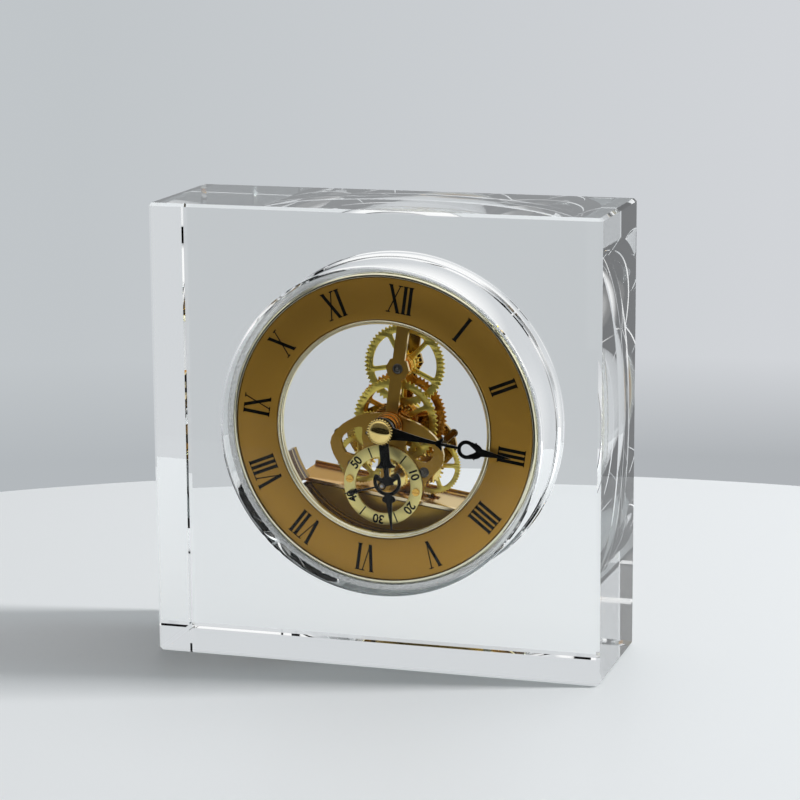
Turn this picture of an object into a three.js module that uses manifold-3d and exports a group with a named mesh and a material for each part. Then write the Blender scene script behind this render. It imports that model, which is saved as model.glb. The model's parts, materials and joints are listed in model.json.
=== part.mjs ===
// A square crystal block with a skeleton clock insert seen through its clear front wall.
// Millimetres, +Z up, the dial faces -Y, the origin is the middle of the block's underside.
import * as THREE from 'three';
import { mergeVertices } from 'three/addons/utils/BufferGeometryUtils.js';
import Module from 'manifold-3d';

const wasm = await Module();
wasm.setup();

// Block
const BLOCK_WIDTH = 150;
const BLOCK_HEIGHT = 150;
const BLOCK_DEPTH = 50;
const BLOCK_CHAMFER = 1;
const FRONT_WALL = 11;
const POCKET_RADIUS = 54.5;
const POCKET_HEIGHT = 76.8;
const INSERT_TURN = 8.1;
const FRONT_AIR = 5;

// Dial ring and its rims
const RING_OUTER = 50.2;
const RING_INNER = 36.6;
const RING_THICKNESS = 1.2;
const OUTER_RIM_WIDTH = 1.2;
const INNER_RIM_WIDTH = 1.4;
const RIM_RISE = 0.35;
const OUTER_RIM_DEPTH = 9;
const SHOULDER_WIDTH = 1.4;
const SHOULDER_THICKNESS = 0.8;
const GASKET_FRONT = 0.5;
const GASKET_DEPTH = 12;

// Going train: arbors stand on one circle round the centre arbor
const ARBOR_SPACING = 19.3;
const RIGHT_ARBOR_ANGLE = -45;
const LEFT_ARBOR_ANGLE = -125;
const SECONDS_ACROSS = 0.6;
const SECONDS_BELOW = 20.4;
const DRIVE_ARBOR_ANGLE = -35;
const ARBOR_RADIUS = 0.8;
const CENTRE_ARBOR_RADIUS = 0.9;
const WHEEL_THICKNESS = 0.8;
const SPOKES = 5;
const SPOKE_WIDTH = 1.6;
const FINE_SPOKE_WIDTH = 1.4;
const GREAT_HUB = 3.4;
const GREAT_RIM = 3;
const MIDDLE_HUB = 4;
const MIDDLE_RIM = 2.6;
const TOP_HUB = 3.6;
const TOP_RIM = 2.6;
const RIGHT_HUB = 2.8;
const RIGHT_RIM = 1.7;
const LEFT_HUB = 2.6;
const LEFT_RIM = 1.9;
const DRIVE_HUB = 2.4;
const DRIVE_RIM = 1.5;
const BARREL_RADIUS = 6.2;
const COLLET_RADIUS = 3;
const GREAT_TEETH = 64;
const LIFT_PINION_TEETH = 16;
const TOP_TEETH = 60;
const MIDDLE_PINION_TEETH = 24;
const MIDDLE_TEETH = 60;
const RIGHT_PINION_TEETH = 20;
const RIGHT_TEETH = 60;
const SECONDS_PINION_TEETH = 30;
const DRIVE_TEETH = 40;
const LEFT_TEETH = 48;
const LEFT_PITCH_RADIUS = 8.28;

// Motion work: one turn of the hour pipe to twelve of the cannon pipe
const MOTION_SPACING = 8.28;
const MOTION_ANGLE = -151;
const CANNON_TEETH = 12;
const MOTION_TEETH = 36;
const MOTION_PINION_TEETH = 10;
const HOUR_TEETH = 40;
const PIPE_WALL = 0.4;
const HOUR_PIPE_WALL = 0.6;
const MIDDLE_PIPE_WALL = 0.9;
const HOUR_BOSS_RADIUS = 4.5;

// Depths behind the dial ring's front face: the front wheels are set out from the front plate, and
// the rear ones forward from the rear plate
const PLATE_THICKNESS = 1.5;
const FRONT_PLATE_DEPTH = 8;
const REAR_PLATE_DEPTH = 25;
const HOUR_WHEEL_GAP = 1;
const MOTION_WHEEL_GAP = 1;
const MIDDLE_WHEEL_GAP = 1.1;
const TOP_WHEEL_GAP = 1.3;
const GREAT_WHEEL_ROOM = 3;
const DRIVE_WHEEL_ROOM = 4.8;
const RIGHT_WHEEL_ROOM = 6.4;
const PINION_OVERLAP = 0.3;
const KNOB_GAP = 1.5;

// Plates, pillars and seconds dial
const PLATE_HALF_WIDTH = 20;
const STEM_WIDTH = 3;
const STEM_BOSS_RADIUS = 2.4;
const ARCH_MARGIN = 0.6;
const ARM_WIDTH = 4.1;
const TOP_BOSS_RADIUS = 4.05;
const TOP_SPACER_HEIGHT = 41;
const TOP_SPACER_RADIUS = 2;
const PILLAR_RADIUS = 1.4;
const LEFT_PILLAR = [-18, -6.5];
const RIGHT_PILLAR = [18.3, -2.5];
const BUSH_RADIUS = 4.7;
const BUSH_RISE = 4.6;
const BUSH_STEP = 0.5;
const BUSH_FLANGE = 1.3;
const SECONDS_RING_OUTER = 13.6;
const SECONDS_RING_INNER = 9.6;
const SECONDS_RING_THICKNESS = 0.8;
const SECONDS_SCREW_OFFSET = 11.6;
const SCREW_HEAD_RADIUS = 1.3;
const SCREW_HEAD_HEIGHT = 0.5;
const SCREW_SHANK_RADIUS = 0.6;
const SCREW_SLOT_WIDTH = 0.4;
const PIVOT_CAP_RADIUS = 1.7;
const OIL_SINK_RADIUS = 0.6;

// Hands
const HAND_THICKNESS = 0.4;
const HAND_GAP = 0.8;
const MINUTE_HAND_DEPTH = -2.1;
const MINUTE_HAND_LENGTH = 44;
const HOUR_HAND_LENGTH = 32.5;
const SECONDS_HAND_LENGTH = 13.6;
const MINUTE_HAND_ANGLE = 90.5;
const HOUR_HAND_ANGLE = 167;
const SECONDS_HAND_ANGLE = 247;
const HAND_HUB_RADIUS = 4.5;
const SECONDS_HUB_RADIUS = 1.9;
const NUT_RADIUS = 4.5;
const NUT_HEIGHT = 1.9;
const NUT_SKIRT = 0.8;
const NUT_KNURLS = 20;
const NUT_KNURL_DEPTH = 0.35;

// Drive housing below the shelf
const HOUSING_OUTER = 38.3;
const HOUSING_WALL = 1.5;
const HOUSING_REAR_DEPTH = 30;
const HOUSING_PANEL_DEPTH = 12;
const SHELF_BELOW = 24.8;
const SHELF_THICKNESS = 1.2;
const SHELF_HALF_WIDTH = 31;
const SHELF_LIP = 1.2;
const REAR_COVER_THICKNESS = 1.5;
const CELL_RADIUS = 3.95;
const CELL_THICKNESS = 3.6;
const CELL_PLACE = [-4, -31.3];
const DRIVE_UNIT_SIZE = [11, 6.2];
const COIL_RADIUS = 2.3;
const COIL_LENGTH = 12;
const COIL_PLACE = [-10, -30];
const BOARD_SIZE = [21, 4.2, 1];
const BOARD_PLACE = [-7.5, -28.7];
const BOARD_STANDOFF = 0.5;
const CRYSTAL_CAN_RADIUS = 1;
const CRYSTAL_CAN_LENGTH = 4.8;
const CRYSTAL_CAN_PLACE = [0.4, -27.8];
const COVER_POST_PLACE = [20, -28.5];
const COVER_POST_RADIUS = 1.6;
const KNOB_RADIUS = 4.5;
const KNOB_THICKNESS = 3.5;
const KNOB_RIBS = 16;
const KNOB_RIB_DEPTH = 0.3;
const BATTERY_HOLE_MARGIN = 0.5;
const BATTERY_GRIP = [3.9, 1];
const BATTERY_GRIP_RISE = 0.65;
const CONTACT_SHEET = 0.4;
const CORE_SIDE = 1.2;
const CORE_OVERHANG = 1;
const DRIVE_BORE_DEPTH = 2.5;

// Facets of the large rings, and fits
const RING_SIDES = 48;
const SEAT_GAP = 0.3;
const RUNNING_GAP = 0.2;
const RECESS = 0.1;

const degrees = Math.PI / 180;
const polar = (radius, angle) => [radius * Math.cos(angle * degrees), radius * Math.sin(angle * degrees)];
const add = (a, b) => [a[0] + b[0], a[1] + b[1]];
const distance = (a, b) => Math.hypot(a[0] - b[0], a[1] - b[1]);
const bearing = (a, b) => Math.atan2(b[1] - a[1], b[0] - a[0]) / degrees;

// Materials
const metal = (color, roughness) => new THREE.MeshStandardMaterial({ color, roughness, metalness: 1 });
const plastic = (color, roughness) => new THREE.MeshStandardMaterial({ color, roughness, metalness: 0 });
const crystal = new THREE.MeshStandardMaterial({
  color: 0xf4f8f8, roughness: 0.02, metalness: 0, transparent: true, opacity: 0.3,
});
const clearPlastic = new THREE.MeshStandardMaterial({
  color: 0xe8e8e2, roughness: 0.15, metalness: 0, transparent: true, opacity: 0.5,
});
const satinGold = metal(0x8c6a32, 0.45);
const polishedGold = metal(0xd9c48a, 0.12);
const brass = metal(0xb9ac5f, 0.3);
const copper = metal(0xb0703c, 0.2);
const steel = metal(0x9a9a98, 0.3);
const darkSteel = metal(0x4a4238, 0.4);
const blackPaint = plastic(0x101010, 0.5);
const blackPlastic = plastic(0x1c1c1e, 0.55);
const greenBoard = plastic(0x2c5a3a, 0.5);

// Solids: every piece is drawn in the insert's own frame, x across, y behind the dial, z up
function solidOf(geometry) {
  const bare = geometry.clone();
  bare.deleteAttribute('normal');
  bare.deleteAttribute('uv');
  const merged = mergeVertices(bare, 1e-4);
  const corners = [];
  for (let i = 0; i < merged.index.count; i += 3) {
    const [a, b, c] = [0, 1, 2].map((k) => merged.index.getX(i + k));
    if (a !== b && b !== c && c !== a) corners.push(a, b, c);
  }
  return new wasm.Manifold(new wasm.Mesh({
    numProp: 3,
    vertProperties: new Float32Array(merged.attributes.position.array),
    triVerts: new Uint32Array(corners),
  }));
}

function geometryOf(solid) {
  const mesh = solid.getMesh();
  const geometry = new THREE.BufferGeometry();
  geometry.setAttribute('position', new THREE.BufferAttribute(new Float32Array(mesh.vertProperties), 3));
  geometry.setIndex(new THREE.BufferAttribute(new Uint32Array(mesh.triVerts), 1));
  geometry.computeVertexNormals();
  return geometry;
}

const join = (...geometries) => geometryOf(geometries.map(solidOf).reduce((a, b) => a.add(b)));
const cut = (geometry, ...tools) =>
  geometryOf(tools.map(solidOf).reduce((a, b) => a.subtract(b), solidOf(geometry)));

// A flat piece whose front face lies at the given depth
function plate(shape, front, thickness, curveSegments = 24) {
  const geometry = new THREE.ExtrudeGeometry(shape, { depth: thickness, bevelEnabled: false, curveSegments });
  geometry.rotateX(Math.PI / 2);
  geometry.translate(0, front + thickness, 0);
  return geometry;
}

function outline(points) {
  const corners = points.map(([x, y]) => new THREE.Vector2(x, y));
  return new THREE.Shape(THREE.ShapeUtils.isClockWise(corners) ? corners.reverse() : corners);
}
const circlePoints = (centre, radius, count, start = 0) =>
  Array.from({ length: count }, (_, i) => add(centre, polar(radius, start + (360 * i) / count)));
const circle = (centre, radius, count = 32) => outline(circlePoints(centre, radius, count));
const withHoles = (shape, ...holes) => {
  holes.forEach((points) => shape.holes.push(new THREE.Path(points.map(([x, y]) => new THREE.Vector2(x, y)))));
  return shape;
};
const disc = (centre, radius, front, thickness, count = 32) =>
  plate(circle(centre, radius, count), front, thickness);
const tube = (centre, outer, inner, front, thickness, count = 32) =>
  plate(withHoles(circle(centre, outer, count), circlePoints(centre, inner, count)), front, thickness);

// A turned ring or knob: the profile holds [radius, depth] pairs, front first and then outwards.
// It closes on itself, or it starts and ends on the axis.
function turned(centre, profile, count = 48) {
  const closing = profile[0][0] === 0 ? [] : [profile[0]];
  const points = [...profile, ...closing].map(([radius, depth]) => new THREE.Vector2(radius, depth));
  const geometry = new THREE.LatheGeometry(points, count);
  geometry.translate(centre[0], 0, centre[1]);
  return geometryOf(solidOf(geometry));
}

function box(centre, size, front) {
  const geometry = new THREE.BoxGeometry(size[0], size[2], size[1]);
  geometry.translate(centre[0], front + size[2] / 2, centre[1]);
  return geometry;
}

// Outlines are written as shares of one size, so that they grow with it
const sized = (points, size) => points.map(([x, y]) => [x * size, y * size]);

// A flat closed curve through a few points
const smooth = (points, count) => new THREE.CatmullRomCurve3(
  points.map(([x, y]) => new THREE.Vector3(x, y, 0)), true, 'centripetal',
).getPoints(count).slice(0, -1).map((p) => [p.x, p.y]);

// Gears. A wheel has pointed teeth, a pinion blunt ones that leave its partner room to run.
const wheelTooth = (module) => [[0, 0.95 * module], [0.5, -1.15 * module]];
const pinionTooth = (module) =>
  [[-0.21, -1.25 * module], [-0.06, 0.7 * module], [0.06, 0.7 * module], [0.21, -1.25 * module]];

function toothedOutline(centre, teeth, pitchRadius, tooth, phase) {
  const pitch = 360 / teeth;
  const profile = tooth((2 * pitchRadius) / teeth);
  const points = [];
  for (let i = 0; i < teeth; i += 1) {
    for (const [share, rise] of profile) {
      points.push(add(centre, polar(pitchRadius + rise, phase + pitch * (i + share))));
    }
  }
  return points;
}

// The openings between the spokes, each bounded by the rim, the hub and two spokes
function spokeOpenings(centre, spokes, hub, rim, spokeWidth, phase) {
  const openings = [];
  for (let i = 0; i < spokes; i += 1) {
    const start = phase + (360 * i) / spokes;
    const edge = (radius, side, angle) => angle + side * (Math.asin(spokeWidth / 2 / radius) / degrees);
    const arc = (radius, from, to, steps) => Array.from(
      { length: steps + 1 }, (_, k) => add(centre, polar(radius, from + ((to - from) * k) / steps)),
    );
    const end = start + 360 / spokes;
    openings.push([
      ...arc(rim, edge(rim, 1, start), edge(rim, -1, end), 4),
      ...arc(hub, edge(hub, -1, end), edge(hub, 1, start), 2),
    ]);
  }
  return openings;
}

function spokedWheel({
  centre, teeth, radius, phase, front, bore, hub, rim, spokeWidth = SPOKE_WIDTH, turn = 0,
}) {
  const shape = withHoles(
    outline(toothedOutline(centre, teeth, radius, wheelTooth, phase)),
    circlePoints(centre, bore, 12),
    ...spokeOpenings(centre, SPOKES, hub, radius - rim, spokeWidth, turn),
  );
  return plate(shape, front, WHEEL_THICKNESS);
}

const pinion = ({ centre, teeth, radius, phase, front, thickness, bore }) => plate(
  withHoles(outline(toothedOutline(centre, teeth, radius, pinionTooth, phase)), circlePoints(centre, bore, 12)),
  front, thickness,
);

// Angle of the driven gear's first tooth that puts one of its gaps round a tooth of the other gear
function meshPhase(phase, teeth, from, to, drivenTeeth) {
  const line = bearing(from, to);
  const pitch = 360 / teeth;
  const share = ((((line - phase) % pitch) + pitch) % pitch) / pitch;
  return line + 180 + ((share + 0.5) * 360) / drivenTeeth;
}

const pitchRadii = (span, teeth, otherTeeth) =>
  [(span * teeth) / (teeth + otherTeeth), (span * otherTeeth) / (teeth + otherTeeth)];

// Arbor places and pitch radii
const centre = [0, 0];
const topArbor = [0, ARBOR_SPACING];
const rightArbor = polar(ARBOR_SPACING, RIGHT_ARBOR_ANGLE);
const leftArbor = polar(ARBOR_SPACING, LEFT_ARBOR_ANGLE);
const secondsArbor = [SECONDS_ACROSS, -SECONDS_BELOW];
const motionStud = polar(MOTION_SPACING, MOTION_ANGLE);
const [greatRadius, liftPinionRadius] = pitchRadii(ARBOR_SPACING, GREAT_TEETH, LIFT_PINION_TEETH);
const [topRadius, middlePinionRadius] = pitchRadii(ARBOR_SPACING, TOP_TEETH, MIDDLE_PINION_TEETH);
const [middleRadius, rightPinionRadius] = pitchRadii(ARBOR_SPACING, MIDDLE_TEETH, RIGHT_PINION_TEETH);
const [rightRadius, secondsPinionRadius] =
  pitchRadii(distance(rightArbor, secondsArbor), RIGHT_TEETH, SECONDS_PINION_TEETH);
const driveRadius = (secondsPinionRadius * DRIVE_TEETH) / SECONDS_PINION_TEETH;
const driveArbor = add(secondsArbor, polar(driveRadius + secondsPinionRadius, DRIVE_ARBOR_ANGLE));
const [cannonRadius, motionRadius] = pitchRadii(MOTION_SPACING, CANNON_TEETH, MOTION_TEETH);
const [motionPinionRadius, hourRadius] = pitchRadii(MOTION_SPACING, MOTION_PINION_TEETH, HOUR_TEETH);

// Tooth phases, each gear set to the one before it
const topPinionPhase = meshPhase(0, GREAT_TEETH, centre, topArbor, LIFT_PINION_TEETH);
const leftPinionPhase = meshPhase(0, GREAT_TEETH, centre, leftArbor, LIFT_PINION_TEETH);
const middlePinionPhase = meshPhase(0, TOP_TEETH, topArbor, centre, MIDDLE_PINION_TEETH);
const rightPinionPhase = meshPhase(0, MIDDLE_TEETH, centre, rightArbor, RIGHT_PINION_TEETH);
const secondsPinionPhase = meshPhase(0, RIGHT_TEETH, rightArbor, secondsArbor, SECONDS_PINION_TEETH);
const drivePhase = meshPhase(secondsPinionPhase, SECONDS_PINION_TEETH, secondsArbor, driveArbor, DRIVE_TEETH);
const motionPhase = meshPhase(0, CANNON_TEETH, centre, motionStud, MOTION_TEETH);
const hourPhase = meshPhase(0, MOTION_PINION_TEETH, motionStud, centre, HOUR_TEETH);

// Pipe radii, nested round the centre arbor
const cannonBore = CENTRE_ARBOR_RADIUS + RUNNING_GAP;
const cannonOuter = cannonBore + PIPE_WALL;
const hourBore = cannonOuter + RUNNING_GAP;
const hourOuter = hourBore + HOUR_PIPE_WALL;
const bushBore = hourOuter + RUNNING_GAP;
const middlePipeOuter = cannonBore + MIDDLE_PIPE_WALL;

// Depths worked out from the layers
const ringFront = -BLOCK_DEPTH / 2 + FRONT_WALL + FRONT_AIR;
const frontPlateBack = FRONT_PLATE_DEPTH + PLATE_THICKNESS;
const rearPlateBack = REAR_PLATE_DEPTH + PLATE_THICKNESS;
const hourWheelDepth = frontPlateBack + HOUR_WHEEL_GAP;
const motionWheelDepth = hourWheelDepth + WHEEL_THICKNESS + MOTION_WHEEL_GAP;
const middleWheelDepth = motionWheelDepth + WHEEL_THICKNESS + MIDDLE_WHEEL_GAP;
const topWheelDepth = middleWheelDepth + WHEEL_THICKNESS + TOP_WHEEL_GAP;
const rightWheelDepth = REAR_PLATE_DEPTH - RIGHT_WHEEL_ROOM;
const driveWheelDepth = REAR_PLATE_DEPTH - DRIVE_WHEEL_ROOM;
const greatWheelDepth = REAR_PLATE_DEPTH - GREAT_WHEEL_ROOM;
const knobDepth = rearPlateBack + KNOB_GAP;
const pinionThickness = WHEEL_THICKNESS + 2 * PINION_OVERLAP;
const cannonFront = MINUTE_HAND_DEPTH + HAND_THICKNESS + SEAT_GAP;
const hourHandDepth = MINUTE_HAND_DEPTH + HAND_THICKNESS + HAND_GAP + SEAT_GAP + RUNNING_GAP;
const hourPipeFront = hourHandDepth + HAND_THICKNESS + SEAT_GAP;
const motionPinionFront = hourWheelDepth - PINION_OVERLAP / 2;
const cannonPinionFront = motionWheelDepth - PINION_OVERLAP / 2;
const cannonBack = motionWheelDepth + WHEEL_THICKNESS + PINION_OVERLAP / 2;
const middlePinionFront = topWheelDepth - PINION_OVERLAP;
const middlePinionBack = topWheelDepth + WHEEL_THICKNESS + PINION_OVERLAP;
const housingInner = HOUSING_OUTER - HOUSING_WALL;
const shelfTop = -SHELF_BELOW;
const shelfBottom = shelfTop - SHELF_THICKNESS;
const housingTop = shelfBottom - SEAT_GAP;
const secondsRingFront = FRONT_PLATE_DEPTH - SEAT_GAP - SECONDS_RING_THICKNESS;
const secondsHandDepth = secondsRingFront - 2 * HAND_THICKNESS - SEAT_GAP;

const clock = new THREE.Group();
const insert = new THREE.Group();
insert.position.set(0, ringFront, POCKET_HEIGHT);
insert.rotation.y = INSERT_TURN * degrees;
clock.add(insert);

function piece(name, geometry, material, group = insert) {
  const mesh = new THREE.Mesh(geometry, material);
  mesh.name = name;
  group.add(mesh);
}

// Crystal block: every edge chamfered, a round blind pocket let in from the back
function crystalBlock() {
  const c = BLOCK_CHAMFER;
  const x = BLOCK_WIDTH / 2 - c;
  const z = BLOCK_HEIGHT / 2 - c;
  const t = c * (Math.SQRT2 - 1);
  const corners = [
    [x - t, -z], [x, t - z], [x, z - t], [x - t, z], [t - x, z], [-x, z - t], [-x, t - z], [t - x, -z],
  ];
  const body = new THREE.ExtrudeGeometry(outline(corners), {
    depth: BLOCK_DEPTH - 2 * c, bevelThickness: c, bevelSize: c, bevelSegments: 1,
  });
  body.rotateX(Math.PI / 2);
  body.translate(0, BLOCK_DEPTH / 2 - c, BLOCK_HEIGHT / 2);
  const pocketFloor = FRONT_WALL - BLOCK_DEPTH / 2;
  const pocket = disc([0, POCKET_HEIGHT], POCKET_RADIUS, pocketFloor, BLOCK_DEPTH - FRONT_WALL + 1, 96);
  return cut(body, pocket);
}
piece('crystal_block', crystalBlock(), crystal, clock);

// Rims and dial ring: the outer rim carries the ring on a shoulder, the gasket grips the rim in the pocket
const outerRimInner = RING_OUTER + SEAT_GAP;
const outerRimOuter = outerRimInner + OUTER_RIM_WIDTH;
const shoulderFront = RING_THICKNESS + SEAT_GAP;
const shoulderBack = shoulderFront + SHOULDER_THICKNESS;
piece('outer_bezel', turned(centre, [
  [outerRimInner, -RIM_RISE], [outerRimOuter - 0.5, -RIM_RISE], [outerRimOuter, 0.2],
  [outerRimOuter, OUTER_RIM_DEPTH], [outerRimInner, OUTER_RIM_DEPTH], [outerRimInner, shoulderBack],
  [RING_OUTER - SHOULDER_WIDTH, shoulderBack], [RING_OUTER - SHOULDER_WIDTH, shoulderFront],
  [outerRimInner, shoulderFront],
], RING_SIDES), polishedGold);
piece('chapter_ring', tube(centre, RING_OUTER, RING_INNER, 0, RING_THICKNESS, RING_SIDES), satinGold);
const innerRimOuter = RING_INNER - SEAT_GAP;
const innerRimInner = innerRimOuter - INNER_RIM_WIDTH;
const innerRimStep = (innerRimOuter + innerRimInner) / 2;
piece('inner_bezel', turned(centre, [
  [innerRimInner, RIM_RISE], [innerRimStep, RIM_RISE], [innerRimStep, -RIM_RISE], [innerRimOuter, -RIM_RISE],
  [innerRimOuter, shoulderFront], [RING_INNER + SHOULDER_WIDTH, shoulderFront],
  [RING_INNER + SHOULDER_WIDTH, shoulderBack], [innerRimInner, shoulderBack],
], RING_SIDES), polishedGold);
piece('pocket_gasket', turned(centre, [
  [outerRimOuter + SEAT_GAP, GASKET_FRONT], [POCKET_RADIUS - SEAT_GAP, GASKET_FRONT],
  [POCKET_RADIUS - SEAT_GAP, GASKET_FRONT + GASKET_DEPTH],
  [outerRimOuter + SEAT_GAP, GASKET_FRONT + GASKET_DEPTH],
], RING_SIDES), clearPlastic);

// Front and rear plates: the same heart outline, with its upright arm, two windows, and an arch
// inside the seconds dial that a stem crosses to carry the seconds arbor
const heart = smooth(sized([
  [0, 0.22], [0.265, 0.16], [0.53, 0.1], [0.81, -0.065], [0.96, -0.26], [0.985, -0.47], [0.885, -0.645],
  [0.74, -0.83], [0.71, -1.03], [0.475, -1.13], [0.03, -1.145], [-0.425, -1.13], [-0.645, -1.04],
  [-0.695, -0.895], [-0.82, -0.79], [-0.93, -0.64], [-0.99, -0.445], [-0.85, -0.18], [-0.665, -0.015],
  [-0.5, 0.085], [-0.265, 0.16],
], PLATE_HALF_WIDTH), 44);
const leftWindow = smooth(sized([
  [-0.81, -0.41], [-0.745, -0.295], [-0.595, -0.16], [-0.47, -0.13], [-0.455, -0.3], [-0.41, -0.43],
  [-0.44, -0.56], [-0.56, -0.63], [-0.695, -0.615],
], PLATE_HALF_WIDTH), 18);
const rightWindow = smooth(sized([
  [0.31, -0.21], [0.5, -0.16], [0.675, -0.18], [0.8, -0.27], [0.8, -0.39], [0.695, -0.51], [0.51, -0.5],
  [0.35, -0.43],
], PLATE_HALF_WIDTH), 16);
const armTop = TOP_SPACER_HEIGHT + TOP_SPACER_RADIUS;
const armFoot = ARM_WIDTH / 2;
const pivotHole = ARBOR_RADIUS + RUNNING_GAP;
const through = (place, radius, front, sides = 16) =>
  disc(place, radius, front - 1, PLATE_THICKNESS + 2, sides);
const pivotHoles = (front) => [topArbor, rightArbor, leftArbor, secondsArbor]
  .map((place) => through(place, pivotHole, front));

function bar(left, right, bottom, top, front) {
  return plate(outline([[left, bottom], [right, bottom], [right, top], [left, top]]), front, PLATE_THICKNESS);
}

function movementPlate(front) {
  const arch = through(secondsArbor, SECONDS_RING_INNER + ARCH_MARGIN, front, 40);
  const lower = cut(plate(withHoles(outline(heart), leftWindow, rightWindow), front, PLATE_THICKNESS), arch);
  const arm = bar(-ARM_WIDTH / 2, ARM_WIDTH / 2, armFoot, armTop, front);
  const boss = disc(topArbor, TOP_BOSS_RADIUS, front, PLATE_THICKNESS, 8);
  const head = disc([0, TOP_SPACER_HEIGHT], TOP_SPACER_RADIUS + 1, front, PLATE_THICKNESS, 24);
  const stemTop = secondsArbor[1] + SECONDS_RING_INNER + 2 * ARCH_MARGIN;
  const stemLeft = secondsArbor[0] - STEM_WIDTH / 2;
  const stem = bar(stemLeft, stemLeft + STEM_WIDTH, secondsArbor[1], stemTop, front);
  const stemBoss = disc(secondsArbor, STEM_BOSS_RADIUS, front, PLATE_THICKNESS, 20);
  return join(lower, arm, boss, head, stem, stemBoss);
}
const bushPlug = BUSH_RADIUS - BUSH_FLANGE;
const cappedArbors = [['top', topArbor], ['right', rightArbor], ['left', leftArbor]];
const capSeatDepth = SCREW_HEAD_HEIGHT + SEAT_GAP;
piece('front_plate', cut(
  movementPlate(FRONT_PLATE_DEPTH),
  through(centre, bushPlug + SEAT_GAP, FRONT_PLATE_DEPTH, 32),
  through(motionStud, pivotHole, FRONT_PLATE_DEPTH),
  ...pivotHoles(FRONT_PLATE_DEPTH),
  ...cappedArbors.map(([, place]) => disc(
    place, PIVOT_CAP_RADIUS + RUNNING_GAP, FRONT_PLATE_DEPTH - 1, capSeatDepth + 1, 16,
  )),
), satinGold);
piece('rear_plate', cut(
  movementPlate(REAR_PLATE_DEPTH),
  through(centre, CENTRE_ARBOR_RADIUS + RUNNING_GAP, REAR_PLATE_DEPTH),
  ...pivotHoles(REAR_PLATE_DEPTH),
), satinGold);

// Spacers and pillars between the plates, and from the front plate to the dial ring
const betweenPlates = REAR_PLATE_DEPTH - frontPlateBack - 2 * SEAT_GAP;
const pillarFront = frontPlateBack + SEAT_GAP;
const spacerPlace = [0, TOP_SPACER_HEIGHT];
piece('top_spacer', disc(
  spacerPlace, TOP_SPACER_RADIUS, shoulderFront, FRONT_PLATE_DEPTH - SEAT_GAP - shoulderFront, 24,
), brass);
piece('top_pillar', disc(spacerPlace, TOP_SPACER_RADIUS, pillarFront, betweenPlates, 24), brass);
piece('left_pillar', disc(LEFT_PILLAR, PILLAR_RADIUS, pillarFront, betweenPlates, 20), copper);
piece('right_pillar', disc(RIGHT_PILLAR, PILLAR_RADIUS, pillarFront, betweenPlates, 20), copper);

// Centre bush: three steps in front of the plate and a plug through it
const bushFront = FRONT_PLATE_DEPTH - SEAT_GAP - BUSH_RISE;
const bushStep = BUSH_RISE / 3;
const bushNose = BUSH_RADIUS - 2 * BUSH_STEP;
const bushWaist = BUSH_RADIUS - BUSH_STEP;
const bushBack = frontPlateBack - 2 * RECESS;
piece('centre_bush', turned(centre, [
  [bushBore, bushFront], [bushNose, bushFront], [bushNose, bushFront + bushStep],
  [bushWaist, bushFront + bushStep], [bushWaist, bushFront + 2 * bushStep],
  [BUSH_RADIUS, bushFront + 2 * bushStep], [BUSH_RADIUS, FRONT_PLATE_DEPTH - SEAT_GAP],
  [bushPlug, FRONT_PLATE_DEPTH - SEAT_GAP], [bushPlug, bushBack], [bushBore, bushBack],
], 24), copper);

// Screws and pivot caps: a slotted head on the face it holds
function slottedScrew(place, headRadius, headFront, headHeight, shankRadius, shankLength) {
  const head = disc(place, headRadius, headFront, headHeight, 16);
  const shank = disc(place, shankRadius, headFront + headHeight / 2, headHeight / 2 + shankLength, 10);
  const slot = box(place, [2 * headRadius + 1, SCREW_SLOT_WIDTH, headHeight], headFront - headHeight / 2);
  return cut(join(head, shank), slot);
}
for (const [name, place] of cappedArbors) {
  piece(`${name}_pivot_cap`, cut(
    disc(place, PIVOT_CAP_RADIUS, FRONT_PLATE_DEPTH, SCREW_HEAD_HEIGHT, 16),
    disc(place, OIL_SINK_RADIUS, FRONT_PLATE_DEPTH - RECESS, SCREW_HEAD_HEIGHT / 2, 12),
  ), darkSteel);
}

// Seconds dial on the front plate's ears, held by two screws
const secondsScrews = {
  left: add(secondsArbor, [-SECONDS_SCREW_OFFSET, 0]),
  right: add(secondsArbor, [SECONDS_SCREW_OFFSET, 0]),
};
piece('seconds_ring', cut(
  tube(secondsArbor, SECONDS_RING_OUTER, SECONDS_RING_INNER, secondsRingFront, SECONDS_RING_THICKNESS, 48),
  ...Object.values(secondsScrews).map((place) => disc(
    place, SCREW_SHANK_RADIUS + RUNNING_GAP, secondsRingFront - 1, SECONDS_RING_THICKNESS + 2, 12,
  )),
), brass);
for (const [side, place] of Object.entries(secondsScrews)) {
  piece(`seconds_screw_${side}`, slottedScrew(
    place, SCREW_HEAD_RADIUS, secondsRingFront - RECESS - SCREW_HEAD_HEIGHT, SCREW_HEAD_HEIGHT,
    SCREW_SHANK_RADIUS, RECESS + SECONDS_RING_THICKNESS,
  ), polishedGold);
}

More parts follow.
